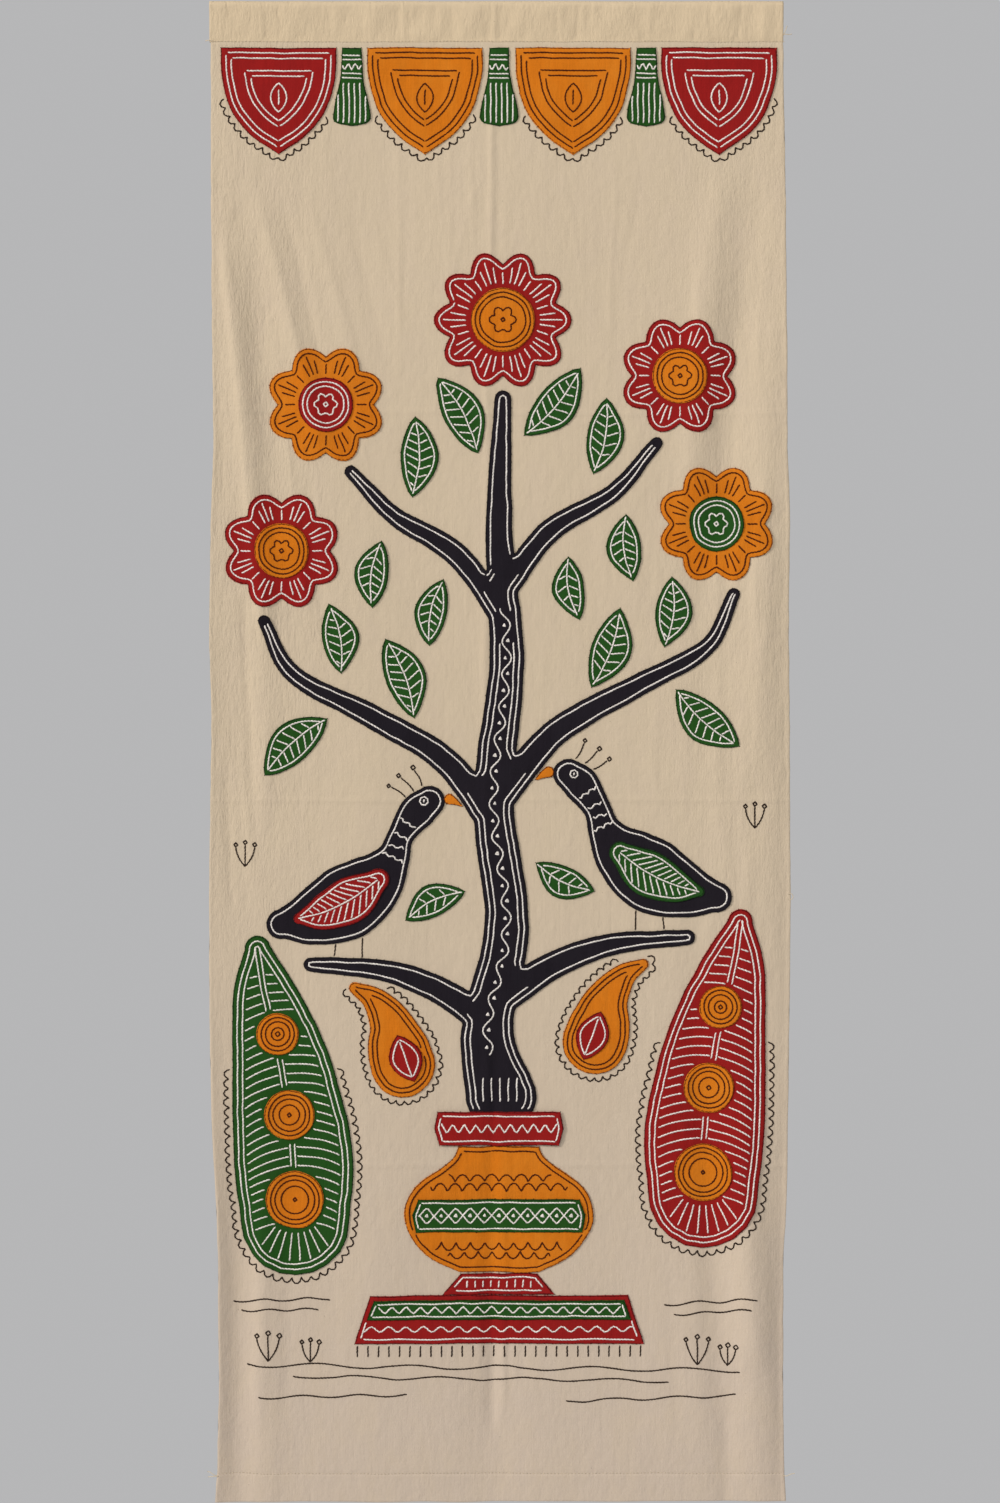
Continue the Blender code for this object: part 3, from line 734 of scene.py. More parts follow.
def panel_rows():
    steps = np.array([-0.8, 0, 0.8, 2, 4, 7])
    rows = [PANEL_TOP + steps] + [np.arange(top, bottom, pitch) for top, bottom, pitch in ROW_STRETCHES]
    rows += [crease + np.arange(-8, 8.1, 2) for crease in CREASE_ROWS]
    rows += [SEAM_DEPTH + np.arange(-4, 4.1, 1), PANEL_BOTTOM - np.array(EDGE_STEPS)]
    rows = np.sort(np.concatenate(rows))
    rows = rows[np.concatenate([[True], np.diff(rows) > 0.2])]
    if len(rows) % 2 == 0:
        rows = np.insert(rows, 8, (rows[7] + rows[8]) / 2)
    return rows


def rounded_half(distance, radius):
    """Half thickness of a cloth whose edge is rounded, as a share of the full one."""
    share = np.clip(distance / radius, 0, 1)
    return np.sqrt(np.clip(1 - (1 - share) ** 2, 0.02, 1))


def seam_relief(depth):
    """The hem's slight step and the groove of its seam."""
    below = depth - SEAM_DEPTH
    return SEAM_STEP * ease(below / 3) - SEAM_GROOVE * np.exp(-(below / 1.6) ** 2)


def rim_of(index):
    """Closed line of the outermost points of a grid."""
    return np.concatenate([index[0, ::-1], index[1:, 0], index[-1, 1:], index[-2::-1, -1]]).tolist()


def make_panel():
    """Panel as a closed thin grid, finer in front than behind, with rolled edges and a doubled hem."""
    rows = panel_rows()
    inner = [np.linspace(start, end, count + 1)[:-1] for start, end, count in COLUMN_STRETCHES]
    outer = PANEL_WIDTH - np.array(EDGE_STEPS)[::-1]
    shares = np.concatenate([EDGE_STEPS[:-1], *inner, outer]) / PANEL_WIDTH
    left, right = [panel_edge(rows, side) + EDGE_WAVER * noise(0, rows, 1, 14, seed)
                   for side, seed in ((-1, 21), (1, 22))]
    across = left[:, None] + shares * (right - left)[:, None]
    depth = np.repeat(rows[:, None], len(shares), axis=1)
    in_hem = ease((depth - HEM_TOP) / 20)
    depth = depth - in_hem * (0.6 + 0.6 * noise(across, depth, 40, 400, 23))
    from_side = np.minimum(across - left[:, None], right[:, None] - across)
    from_bottom = PANEL_BOTTOM - rows[:, None] + 0 * across
    lift = cloth_lift(across, depth)
    roll = EDGE_ROLL * np.sin(math.pi * np.clip(from_side / EDGE_ROLL_WIDTH, 0, 1))
    unevenly = 0.55 + 0.6 * noise(np.sign(across) * 40, depth, 30, 26, 24)
    roll *= ease((rows[:, None] - PANEL_TOP) / 10) * unevenly
    half = PANEL_THICK / 2 * rounded_half(from_side, SIDE_ROUND) * rounded_half(from_bottom, HEM_ROUND)
    tuck = 0.12 * (1 - ease((rows[:, None] - PANEL_TOP + 0.8) / 2.4))
    hem = np.where(depth > HEM_TOP, HEM_EXTRA * rounded_half(from_bottom, HEM_ROUND), 0)
    front = lift + half + roll - tuck + seam_relief(depth)
    back = lift - half - roll * 0.3 + tuck - hem
    front_points = np.stack([across, depth, front], axis=2)
    back_points = np.stack([across, depth, back], axis=2)[::2, ::2]
    verts = np.vstack([front_points.reshape(-1, 3), back_points.reshape(-1, 3)])
    height, width = across.shape
    back_height, back_width = back_points.shape[:2]
    faces = grid_faces(height, width) + grid_faces(back_height, back_width, across.size, True)
    rim = rim_of(np.arange(across.size).reshape(height, width))
    back_rim = rim_of(across.size + np.arange(back_height * back_width).reshape(back_height, back_width))
    for step in range(len(back_rim) - 1):
        faces.append([back_rim[step], *rim[2 * step:2 * step + 3], back_rim[step + 1]])
    surface_map[:] += seam_relief(np.arange(len(surface_map)) + MAP_TOP)[:, None]
    panel = add_piece("panel_cloth", verts, faces, CLOTH_MATERIALS["cream"])
    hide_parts("panel")
    return panel


def sleeve_path(half_depth, top, end_half, end_depth):
    """Section of the sleeve from the front of its seam over the top to the back of its seam."""
    centre = top + half_depth
    rise = np.concatenate([[0, 0.01], np.linspace(0, 1, 12)[1:-1]])
    front = np.column_stack([SLEEVE_MIDDLE - end_half + rise * (end_half - half_depth),
                             end_depth + rise * (centre - end_depth)])
    angles = np.linspace(0, math.pi, 17)
    arc = np.column_stack([-np.cos(angles), -np.sin(angles)]) * half_depth + (SLEEVE_MIDDLE, centre)
    back = front[::-1] * (-1, 1) + (2 * SLEEVE_MIDDLE, 0)
    return np.vstack([front, arc, back])


def make_sleeve():
    """Rod sleeve with fine upright wrinkles; both its ends are open."""
    outer = sleeve_path(SLEEVE_CORE + SLEEVE_WALL, 0, SLEEVE_WALL, SLEEVE_BOTTOM)
    inner = sleeve_path(SLEEVE_CORE, SLEEVE_WALL, GAP, SLEEVE_POCKET_END)
    columns = np.linspace(*SLEEVE_ENDS, 340)
    layers = []
    for path, wall in ((outer, 1), (inner, 0)):
        back, depth = [np.repeat(line[:, None], len(columns), axis=1) for line in path.T]
        across = np.repeat(columns[None], len(path), axis=0)
        face = np.where(back < SLEEVE_MIDDLE, 1.0, -1.0)
        upright = ease(depth / 10) * ease((SLEEVE_BOTTOM - depth) / 5)
        wrinkle = upright * relief(SLEEVE_WRINKLES, across, depth + 200 * face)
        crease = sum(tall * np.exp(-((across - middle + depth * lean) / wide) ** 2)
                     for middle, lean, wide, tall in SLEEVE_CREASES) * upright * (face > 0)
        crown = 0.5 * noise(across, 0, 60, 1, 34) * (1 - ease(depth / 10))
        waver = np.where(depth > 30, 0.25 * noise(across, 0, 16, 1, 35) * wall, 0)
        lift = -back + face * (wrinkle * 0.9 + crease)
        layers.append(np.stack([across, depth + np.abs(crown) + waver, lift], axis=2).reshape(-1, 3))
    height, width = len(outer), len(columns)
    count = height * width
    faces = grid_faces(height, width, 0, True) + grid_faces(height, width, count)
    index = np.arange(count).reshape(height, width)
    for column in (0, width - 1):
        ends = strip_faces(index[:, column] + count, index[:, column])
        faces += [end[::-1] for end in ends] if column else ends
    faces += strip_faces(index[0], index[-1])
    faces += strip_faces(index[-1] + count, index[0] + count)
    sleeve = add_piece("sleeve_cloth", np.vstack(layers), faces, CLOTH_MATERIALS["sleeve"])
    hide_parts("rod_sleeve")
    return sleeve


def hexagonal_points(loop, pitch, clearance):
    """Evenly spread points inside the outline, off its edge."""
    left, top = loop.min(axis=0)
    right, low = loop.max(axis=0)
    rows = np.arange(top, low, pitch * 0.87)
    columns = [np.arange(left + (index % 2) * pitch / 2, right, pitch) for index in range(len(rows))]
    points = [np.column_stack([line, np.full(len(line), row)]) for line, row in zip(columns, rows)]
    points = np.vstack(points)
    points = points[inside(points, loop)]
    return points[distance_to(points, loop) > clearance] if len(points) else points


def triangulated(loop, inner):
    """Triangulation of the outline's area: its places, its triangles and the outline's own points."""
    given = np.vstack([loop, inner]) if len(inner) else loop
    outline = [list(range(len(loop)))]
    corners, _, triangles, sources, _, origins = geometry.delaunay_2d_cdt(
        [Vector(point) for point in given], [], outline, 0, 1e-4)
    kept = np.array([triangle for triangle, origin in zip(triangles, origins) if origin])
    found = {source: corner for corner, listed in enumerate(sources) for source in listed}
    rim = np.array([found[index] for index in range(len(loop))])
    return np.array([tuple(corner) for corner in corners]), kept, rim


def rings_inside(loop):
    """Rings of points that follow the outline at growing distances from it."""
    inward = all_round(sideways, loop)
    rings = []
    for inset in RING_INSETS:
        line = (loop + inward * inset)[::2 if inset > 2 else 1]
        line = line[inside(line, loop)]
        if len(line):
            rings.append(line[distance_to(line, loop) > inset * 0.92])
    return np.vstack(rings)


def make_patch(name, outlines, colour, layer, is_node=True):
    """One sewn-on cloth with a turned-under edge. Layer 1 lies on the panel, layer 2 on layer 1."""
    loop = evened(outlines[0] if len(outlines) == 1 else joined_outline(outlines), OUTLINE_PITCH)
    loop = loop + all_round(sideways, loop) * relief(CUT_WAVER, *loop.T)[:, None]
    bottom = PANEL_THICK / 2 + GAP + (layer - 1) * (GAP + PATCH_THICK)
    inner = hexagonal_points(loop, INNER_PITCH, RING_INSETS[-1] + 2)
    rings = rings_inside(loop)
    points, triangles, rim = triangulated(loop, np.vstack([rings, inner]) if len(inner) else rings)
    distance = distance_to(points, loop)
    drop = PATCH_THICK * 0.62 * (1 - rounded_half(distance, EDGE_ROUND))
    turned = TURNED_LIFT * ease(distance / 1.4) * (1 - ease((distance - TURNED_WIDTH + 1) / 2.2))
    puff = 0.22 * ease((distance - 5) / 10) + 0.10 * noise(points[:, 0], points[:, 1], 7, 7, 41)
    above = bottom + PATCH_THICK - drop + turned + puff * ease(distance / 2)
    number = len(patches) + 1
    enter_on_map(points, above, triangles, number)
    patches[name] = {"loop": loop, "number": number, "colour": colour}
    hidden, hidden_triangles, hidden_rim = triangulated(loop, hexagonal_points(loop, BACK_PITCH, 4))
    below = np.full(len(hidden), bottom)
    below[hidden_rim] += 0.12
    count = len(points)
    places = np.vstack([points, hidden])
    lifts = cloth_lift(places[:, 0], places[:, 1]) + np.concatenate([above, below])
    faces = triangles[:, ::-1].tolist() + (hidden_triangles + count).tolist()
    around_back = np.append(hidden_rim, hidden_rim[0]) + count
    faces += [quad[::-1] for quad in strip_faces(around_back, np.append(rim, rim[0]))]
    verts = np.column_stack([places, lifts])
    piece = add_piece(f"{name}_cloth", verts, faces, CLOTH_MATERIALS[colour])
    if is_node:
        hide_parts(name)


def make_patches():
    """Every sewn-on cloth, the lower layer first."""
    made = []

    def cut(name, outlines, colour, layer=1, is_node=True):
        made.append((layer, name, outlines, colour, is_node))

    for number, (across, colour) in enumerate(SCALLOPS, 1):
        cut(f"scallop_{number}", [placed(mirrored(SCALLOP_HALF, 8), across, 0)], colour)
    for number, across in enumerate(TASSELS, 1):
        cut(f"tassel_{number}", [placed(mirrored(TASSEL_HALF, 8), across, 0)], "green")
    cut("tree", [stroke(limb) for limb in TREE_LIMBS], "black")
    for name, colour, layer, steps, rows in POT_PIECES:
        cut(name, [mirrored(rows, steps)], colour, layer)
    for side, across, depth, flip, tail_colour, wing_colour in BIRDS:
        cloths = [("body", BIRD_BODY, "black", 1), ("tail", BIRD_TAIL, tail_colour, 1),
                  ("wing", BIRD_WING, wing_colour, 2), ("beak", BIRD_BEAK, "orange", 1)]
        for part, rows, colour, layer in cloths:
            outline = placed(stroke(rows), across, depth, flip=flip)
            cut(f"{side}_bird_{part}", [outline], colour, layer, part != "beak")
        for number, (eye_across, eye_depth, radius) in enumerate(TAIL_EYES, 1):
            outline = placed(disc(radius, 36), across + flip * eye_across, depth + eye_depth)
            cut(f"{side}_tail_eye_{number}", [outline], "orange", 2)
    for number, (across, depth, radius, petals, colour, centre_colour) in enumerate(FLOWERS, 1):
        cut(f"flower_{number}", [placed(petalled(radius, petals, PETAL_NOTCH, 16), across, depth)], colour)
        centre = placed(disc(radius * CENTRE_SHARE, 40), across, depth)
        cut(f"flower_centre_{number}", [centre], centre_colour, 2)
    for number, (across, depth, turn, length, width) in enumerate(LEAVES, 1):
        cut(f"leaf_{number}", [placed(leaf(length, width, LEAF_BEND), across, depth, turn)], "green")
    drop_across, drop_depth, length, width, turn = PAISLEY_DROP
    drop = placed(leaf(length, width, 0), drop_across, drop_depth, turn)
    for side, across, depth, flip in PAISLEYS:
        cut(f"{side}_paisley", [placed(stroke(PAISLEY), across, depth, flip=flip)], "orange")
        cut(f"{side}_paisley_drop", [placed(drop, across, depth, flip=flip)], "red", 2)
    for layer, name, outlines, colour, is_node in sorted(made, key=lambda row: row[0]):
        make_patch(name, outlines, colour, layer, is_node)


stitches = {name: [] for name in THREAD_COLOURS}
dice = np.random.default_rng(7)


def sew(run, colour, pitch=STITCH_PITCH, length=STITCH_LENGTH, width=STITCH_WIDTH, slant=0.35):
    """Stem stitches along a run of places, each overlapping the next, as uneven as a hand makes them."""
    if len(run) < 2 or path_lengths(run)[-1] < pitch:
        return
    marks = resampled(run, pitch)
    side = sideways(marks)
    marks = marks + side * HAND_WOBBLE * noise(marks[:, 0] + marks[:, 1], marks[:, 1], 13, 13, 51)[:, None]
    start, end = marks[:-1], marks[1:]
    forward = unit(end - start)
    beside = quarter_turned(forward)
    reach = np.maximum(length - pitch, -0.6 * pitch) / 2 * dice.uniform(0.8, 1.2, (len(start), 1))
    start = start - forward * reach - beside * slant
    end = end + forward * reach + beside * slant
    widths = width * dice.uniform(0.9, 1.12, len(start))
    stitches[colour].append(np.column_stack([start, end, widths]))


def kept_on(run, number, margin, loop=None, edge=0):
    """Parts of the run that lie on one cloth, margin off its neighbours and edge off its outline."""
    run = resampled(run, 1.5)
    keep = np.ones(len(run), bool)
    for angle in np.arange(8) * math.pi / 4:
        keep &= owners(run + margin * np.array([math.cos(angle), math.sin(angle)])) == number
    if edge:
        keep &= distance_to(run, loop) > edge
    return parts_of(run, keep)


def parts_of(run, keep):
    """Unbroken parts of a run where keep is true."""
    ends = np.flatnonzero(np.diff(np.concatenate([[0], keep.astype(int), [0]])))
    return [run[start:end] for start, end in zip(ends[::2], ends[1::2]) if end - start > 2]


def embroider(name, runs, margin=1.6, edge=0, shortest=4.0, **stitch):
    """Sew the runs where they lie on the named cloth, or on the panel where the name is None."""
    number = patches[name]["number"] if name else 0
    colour = THREAD_OF[patches[name]["colour"] if name else "cream"]
    for run in runs:
        for part in kept_on(np.asarray(run, float), number, margin, name and patches[name]["loop"], edge):
            if path_lengths(part)[-1] >= shortest:
                sew(part, colour, **stitch)


def echo(loop, inset, room=2.0):
    """Lines that follow the outline inside it, or outside it where the inset is negative."""
    loop = evened(loop, 2.0)
    inward = all_round(sideways, loop)
    line = loop + inward * inset
    near = distance_to(line, loop)
    beyond = distance_to(line + inward * room * np.sign(inset), loop)
    keep = (near > abs(inset) - 0.4) & (beyond > abs(inset) + room * 0.55)
    if keep.all():
        return [closed(line)]
    start = int(np.flatnonzero(~keep)[0])
    return parts_of(np.roll(line, -start, axis=0), np.roll(keep, -start))


def shifted_path(path, offsets):
    return path + sideways(path) * np.asarray(offsets)[:, None]


def wave_along(path, amplitude, wavelength):
    path = resampled(path, wavelength / 12)
    return shifted_path(path, amplitude * np.sin(2 * math.pi * path_lengths(path) / wavelength))


def arches_along(path, pitch, height):
    """Row of small half rounds standing on the path."""
    count = max(1, round(path_lengths(path)[-1] / pitch))
    path = resampled(path, path_lengths(path)[-1] / count / 10)
    share = np.linspace(0, count, len(path))
    return shifted_path(path, height * np.abs(np.sin(math.pi * share)) ** 0.7)


def zigzag_along(path, pitch, half):
    count = max(1, round(path_lengths(path)[-1] / pitch))
    path = resampled(path, path_lengths(path)[-1] / count / 8)
    share = np.linspace(0, count, len(path)) % 1
    return shifted_path(path, half * (1 - 4 * np.abs(share - 0.5)))


def ticks_along(path, pitch, near, far, lean=0.0):
    """Short lines across the path, from one distance off it to another."""
    path = resampled(path, pitch)
    side, forward = sideways(path), directions(path)
    near_ends = path + side * near
    far_ends = path + side * far + forward * lean
    return [np.array([start, end]) for start, end in zip(near_ends, far_ends)]


def curved(start, end, bow):
    """Arc between two places that bows to one side."""
    start, end = np.array(start, float), np.array(end, float)
    share = np.linspace(0, 1, 12)[:, None]
    across = np.array([-(end - start)[1], (end - start)[0]]) / np.linalg.norm(end - start)
    return start + (end - start) * share + across * bow * np.sin(math.pi * share)


def ring(across, depth, radius):
    return closed(placed(disc(radius, 24), across, depth))


def echo_lines(name, *insets, room=2.0):
    for inset in insets:
        embroider(name, echo(patches[name]["loop"], inset, room))


def edging(name, height, pitch, inset=-3.2, depth_limit=None):
    """Row of small arches on the panel round the outside of a cloth."""
    for run in echo(patches[name]["loop"], inset, 3.0):
        run = resampled(run, 1.5)
        free = run[:, 1] > (depth_limit or PANEL_TOP)
        for reach in (0, height / 2, height + 1.6):
            free &= owners(run - sideways(run) * reach) == 0
        for part in parts_of(run, free):
            if path_lengths(part)[-1] > 3.5 * pitch:
                sew(arches_along(part, pitch, -height), THREAD_OF["cream"])


VINE_LENGTH = 34
PETAL_TICKS = [  # place in the petal, further turn, near and far end as shares of the radius
    (0.5, 0, 0.54, 0.86), (0.5, -0.13, 0.54, 0.76), (0.5, 0.13, 0.54, 0.76), (0, 0, 0.52, 0.68)]


def embroider_top_border():
    for number, (across, _) in enumerate(SCALLOPS, 1):
        name = f"scallop_{number}"
        echo_lines(name, 5.5, 11, 24, 29.5)
        embroider(name, [closed(placed(leaf(30, 17, 0), across, 86, 90)), [(across, 93), (across, 108)]])
        edging(name, 5.4, 9.5, depth_limit=101)
    for number, across in enumerate(TASSELS, 1):
        name = f"tassel_{number}"
        embroider(name, [level_line(22, depth, across) for depth in (57, 61.5, 76, 80.5)])
        embroider(name, [zigzag_along(level_line(11, 69, across), 7, 4)])
        embroider(name, ticks_along(level_line(20, 86, across), 5.7, 0, 44), margin=2.2)


def embroider_tree():
    """Outlines, a vine with berries up the trunk, and roots."""
    echo_lines("tree", 5.0)
    echo_lines("tree", 10.5, room=9.0)
    trunk = resampled(smooth(TREE_LIMBS[0], 12)[8:54, :2], 1.0)
    embroider("tree", [wave_along(trunk, 4.8, VINE_LENGTH)], margin=4, edge=10.5)
    for turn in range(int(path_lengths(trunk)[-1] / VINE_LENGTH * 2)):
        place = round(VINE_LENGTH * (turn / 2 + 0.25))
        if place < len(trunk):
            berry = trunk[place] + sideways(trunk)[place] * (1.5 if turn % 2 else -1.5)
            embroider("tree", [ring(*berry, 1.7)], margin=3, edge=10.5)
    embroider("tree", ticks_along(level_line(35, 1122, 1.0), 9, -2, 22), edge=14)


def embroider_flowers():
    for number, (across, depth, radius, petals, _, _) in enumerate(FLOWERS, 1):
        name, centre = f"flower_{number}", f"flower_centre_{number}"
        echo_lines(name, 5.2)
        for petal in range(petals):
            for share, turn, low, high in PETAL_TICKS:
                angle = 2 * math.pi * (petal + share) / petals + turn
                ray = np.array([math.sin(angle), -math.cos(angle)]) * radius
                embroider(name, [[ray * low + (across, depth), ray * high + (across, depth)]])
        echo_lines(centre, 4.5, 9.2)
        small = placed(petalled(radius * 0.2, 6, 0.38, 8), across, depth)
        embroider(centre, [closed(small), ring(across, depth, 2.4)], margin=1)


def embroider_leaves():
    for number, (across, depth, turn, length, width) in enumerate(LEAVES, 1):
        name = f"leaf_{number}"
        shares = np.linspace(0.04, 0.93, 20)
        rib = np.column_stack([length * shares, LEAF_BEND * np.sin(math.pi * shares)])
        rib = placed(rib, across, depth, turn)
        embroider(name, [rib])
        echo_lines(name, 4.4)
        veins = resampled(rib, 1.0)
        veins = veins[int(len(veins) * 0.12):int(len(veins) * 0.82)]
        for side in (1, -1):
            embroider(name, ticks_along(veins, 9.5, side * 1.5, side * width / 2, 9), margin=6.4)


TAIL_RAYS = (54, 128, 10.3)  # lines round the tail's end: first, limit and step in degrees


def embroider_bird(side, across, depth, flip):
    body, wing, tail = (f"{side}_bird_{part}" for part in ("body", "wing", "tail"))

    def here(points):
        return placed(points, across, depth, flip=flip)

    echo_lines(body, 4.8)
    echo_lines(wing, 4.6)
    eye_across, eye_depth, eye_radius = BIRD_EYE
    eye = here([(eye_across - 10, eye_depth + 2)])[0]
    embroider(body, [ring(*eye, radius) for radius in (eye_radius, 1.2)], margin=1)
    spine = smooth(BIRD_BODY, 14)
    for place in np.arange(20, 90, 7.2).astype(int):
        run = directions(spine[:, :2])[place]
        across_line = [spine[place, :2] + np.array([run[1], -run[0]]) * reach * spine[place, 2] / 2
                       for reach in (-1, 1)]
        embroider(body, [arches_along(here(across_line), 8.5, 3.6)], margin=7, shortest=14)
    quill = smooth(BIRD_WING, 14)[:, :2]
    embroider(wing, [here(quill)], margin=5)
    for way in (1, -1):
        embroider(wing, ticks_along(here(quill), 7.5, way * 2, way * 17, 13), margin=6.6)
    shaft = here(smooth(BIRD_TAIL, 16)[:, :2])
    echo_lines(tail, 5.4, 10.8)
    embroider(tail, [shifted_path(shaft, np.full(len(shaft), offset)) for offset in (-2.4, 2.4)], margin=3)
    for way in (1, -1):
        for tick in ticks_along(shaft, 9.5, way * 4.6, way * 66, 26):
            embroider(tail, [curved(tick[0], tick[1], way * 6)], margin=1.8, edge=13.4)
    eye_across, eye_depth, radius = TAIL_EYES[-1]
    end_eye = np.array([across + flip * eye_across, depth + eye_depth])
    for angle in np.radians(np.arange(*TAIL_RAYS)):
        ray = np.array([math.cos(angle), math.sin(angle)])
        embroider(tail, [[end_eye + ray * (radius + 5), end_eye + ray * 80]], margin=1.8, edge=13.4)
    edging(tail, 6.0, 10, depth_limit=depth + 120)
    for number, (eye_across, eye_depth, radius) in enumerate(TAIL_EYES, 1):
        name = f"{side}_tail_eye_{number}"
        centre = (across + flip * eye_across, depth + eye_depth)
        rings = [ring(*centre, reach) for reach in (radius - 4.6, radius - 9.2, radius - 15.5, 2.4)]
        embroider(name, rings, margin=1)
    for root_across, root_depth, tip_across, tip_depth in BIRD_CREST:
        root, tip = here([(root_across, root_depth), (tip_across, tip_depth)])
        embroider(None, [curved(root, tip, 1.0)], margin=0.3)
        embroider(None, [ring(*(tip + (tip - root) * 0.18), 2.4)], margin=0.3)
    for top_across, top_depth, foot_across, foot_depth in BIRD_LEGS:
        top, foot = here([(top_across, top_depth), (foot_across, foot_depth)])
        embroider(None, [[top, foot]], margin=0.3)


BAND_MIDDLE = 1263
POT_ARCHES = [  # depth, height, half length of the row
    (1238, 9, 84), (1228, 8, 76), (1290, -9, 90), (1300, -8, 80)]


def embroider_pot():
    for name, inset in (("pot_belly", 5.2), ("pot_rim", 4.6), ("pot_foot", 4.4), ("mat", 4.8)):
        echo_lines(name, inset)
    embroider("pot_rim", [zigzag_along(level_line(60, 1172.5), 12, 5)], margin=4)
    for name in ("pot_band", "mat_strip"):
        echo_lines(name, 3.6, room=1.0)
    for half in (8.5, -8.5):
        lattice = zigzag_along(level_line(90, BAND_MIDDLE), LATTICE_PITCH, half)
        embroider("pot_band", [lattice], margin=3, edge=6)
    dots = np.arange(-75, 76, LATTICE_PITCH / 2)
    embroider("pot_band", [ring(across, BAND_MIDDLE, 1.6) for across in dots], margin=5, edge=8)
    embroider("mat_strip", [zigzag_along(level_line(126, 1361), 15, 4)], margin=3, edge=5.6)
    for depth, height, half in POT_ARCHES:
        arches = arches_along(level_line(half, depth), 15, -height)
        embroider("pot_belly", [arches], margin=3, edge=9.5, shortest=20)
    embroider("pot_foot", ticks_along(level_line(50, 1328), 8, 0, 14), margin=3, edge=6.8)
    embroider("mat", [wave_along(level_line(146, 1381), 3.0, 18)], margin=6)
    embroider(None, ticks_along(level_line(147, 1398.5), 11, 0, 11), margin=0.8)


def embroider_paisleys():
    for side, across, depth, flip in PAISLEYS:
        name, drop = f"{side}_paisley", f"{side}_paisley_drop"
        echo_lines(name, 4.8, 9.6)
        echo_lines(drop, 4.4)
        root_across, root_depth, length, _, turn = PAISLEY_DROP
        vein = placed([(6, 0), (length - 8, 0)], root_across, root_depth, turn)
        embroider(drop, [placed(vein, across, depth, flip=flip)])
        edging(name, 5.0, 8.6)


GROUND_LINES = [  # start across, start depth, end across, end depth, wave height, wave length
    (-276, 1352, -176, 1349, 1.6, 44), (-268, 1362, -188, 1360, 1.2, 38),
    (172, 1356, 268, 1350, 1.6, 46), (182, 1366, 262, 1361, 1.2, 40),
    (-262, 1418, 250, 1424, 2.2, 96), (-214, 1430, 176, 1435, 1.8, 88),
    (-250, 1452, -96, 1449, 1.5, 60), (70, 1456, 246, 1450, 1.5, 66)]
SPRIGS = [  # root across, root depth, height
    (-240, 1414, 26), (-196, 1415, 20), (206, 1418, 26), (238, 1419, 18),
    (-264, 900, 22), (266, 860, 22)]


def embroider_ground():
    for start_across, start_depth, end_across, end_depth, height, length in GROUND_LINES:
        line = np.array([(start_across, start_depth), (end_across, end_depth)], float)
        embroider(None, [wave_along(line, height, length)], margin=1.2)
    for across, depth, height in SPRIGS:
        for lean in (-0.45, 0, 0.45):
            tip = (across + lean * height, depth - height * (1 - 0.25 * abs(lean)))
            embroider(None, [curved((across, depth), tip, lean * 4)], margin=1)
            embroider(None, [ring(tip[0], tip[1] - 3, 2.4)], margin=1)


def embroider_everything():
    embroider_top_border()
    embroider_tree()
    embroider_flowers()
    embroider_leaves()
    for side, across, depth, flip, _, _ in BIRDS:
        embroider_bird(side, across, depth, flip)
    embroider_pot()
    embroider_paisleys()
    embroider_ground()


SLIP_PITCH = 8.0
SEAMS = [(42.4, 297.5), (SEAM_DEPTH, 293.0)]  # depth, half length


def slip_stitch_and_edge_shade():
    """Small stitches that hold each cloth's turned-under edge to the one beneath, and a close row of the
    same darker stitches just inside the edge: real slip stitching that also paints the edge's shade.
    """
    for patch in patches.values():
        loop = evened(patch["loop"], SLIP_PITCH)
        inward, along = all_round(sideways, loop), all_round(directions, loop)
        count = len(loop)
        start = loop + inward * dice.uniform(1.2, 2.0, (count, 1)) + along * 0.5
        end = loop - inward * dice.uniform(0.5, 1.0, (count, 1)) - along * 0.4
        shown = owners(start) == patch["number"]
        stitches[patch["colour"]].append(np.column_stack([start, end, np.full(count, 0.75)])[shown])
        # painted shade: a close row of dark stitches just inside the edge stands in for the shade of the
        # turned-under edge
        for run in echo(patch["loop"], 0.7, 0.5):
            for part in parts_of(run, owners(run + sideways(run)) == patch["number"]):
                sew(part, patch["colour"], pitch=4.2, length=5.0, width=1.0, slant=0.15)


def sew_seams():
    """Running stitches of the sleeve's seam and of the bottom hem."""
    for depth, half in SEAMS:
        line = resampled(level_line(half, depth), 4)
        waver = 0.5 * noise(np.arange(-half, half + 2, 4)[:len(line)], 0, 30, 1, 61)
        sew(shifted_path(line, waver), "cream", pitch=3.6, length=2.5, width=0.8, slant=0.1)


SHOWN_BEHIND = ("white", "dark", "umber")
BACK_STITCH_CORNERS = [  # shares of its run and of its half widths sideways and up
    (-1, 0, 0.5), (0, 1, 0), (0, 0, 0.5), (0, -1, 0), (0, 0, -0.9), (1, 0, 0.5)]
BACK_STITCH_FACES = [(0, 1, 2), (0, 2, 3), (0, 3, 4), (0, 4, 1), (5, 2, 1), (5, 3, 2), (5, 4, 3), (5, 1, 4)]
STATIONS = [  # share of the stitch's length, share of its half width, height in half widths
    (0.0, 0.0, -0.7), (0.12, 0.7, 0.05), (0.5, 1.0, 0.25), (0.88, 0.7, 0.05), (1.0, 0.0, -0.7)]


def stitch_meshes():
    """One mesh of tapered stitches for each thread, cut into pieces of a set size."""
    for colour, rows in stitches.items():
        rows = np.vstack(rows)
        rows = rows[np.argsort(rows[:, 1], kind='stable')]
        pieces_needed = math.ceil(len(rows) / STITCHES_PER_PIECE)
        for number, part in enumerate(np.array_split(rows, pieces_needed), 1):
            stitch_mesh(f"{colour}_stitches_{number}", part, colour)


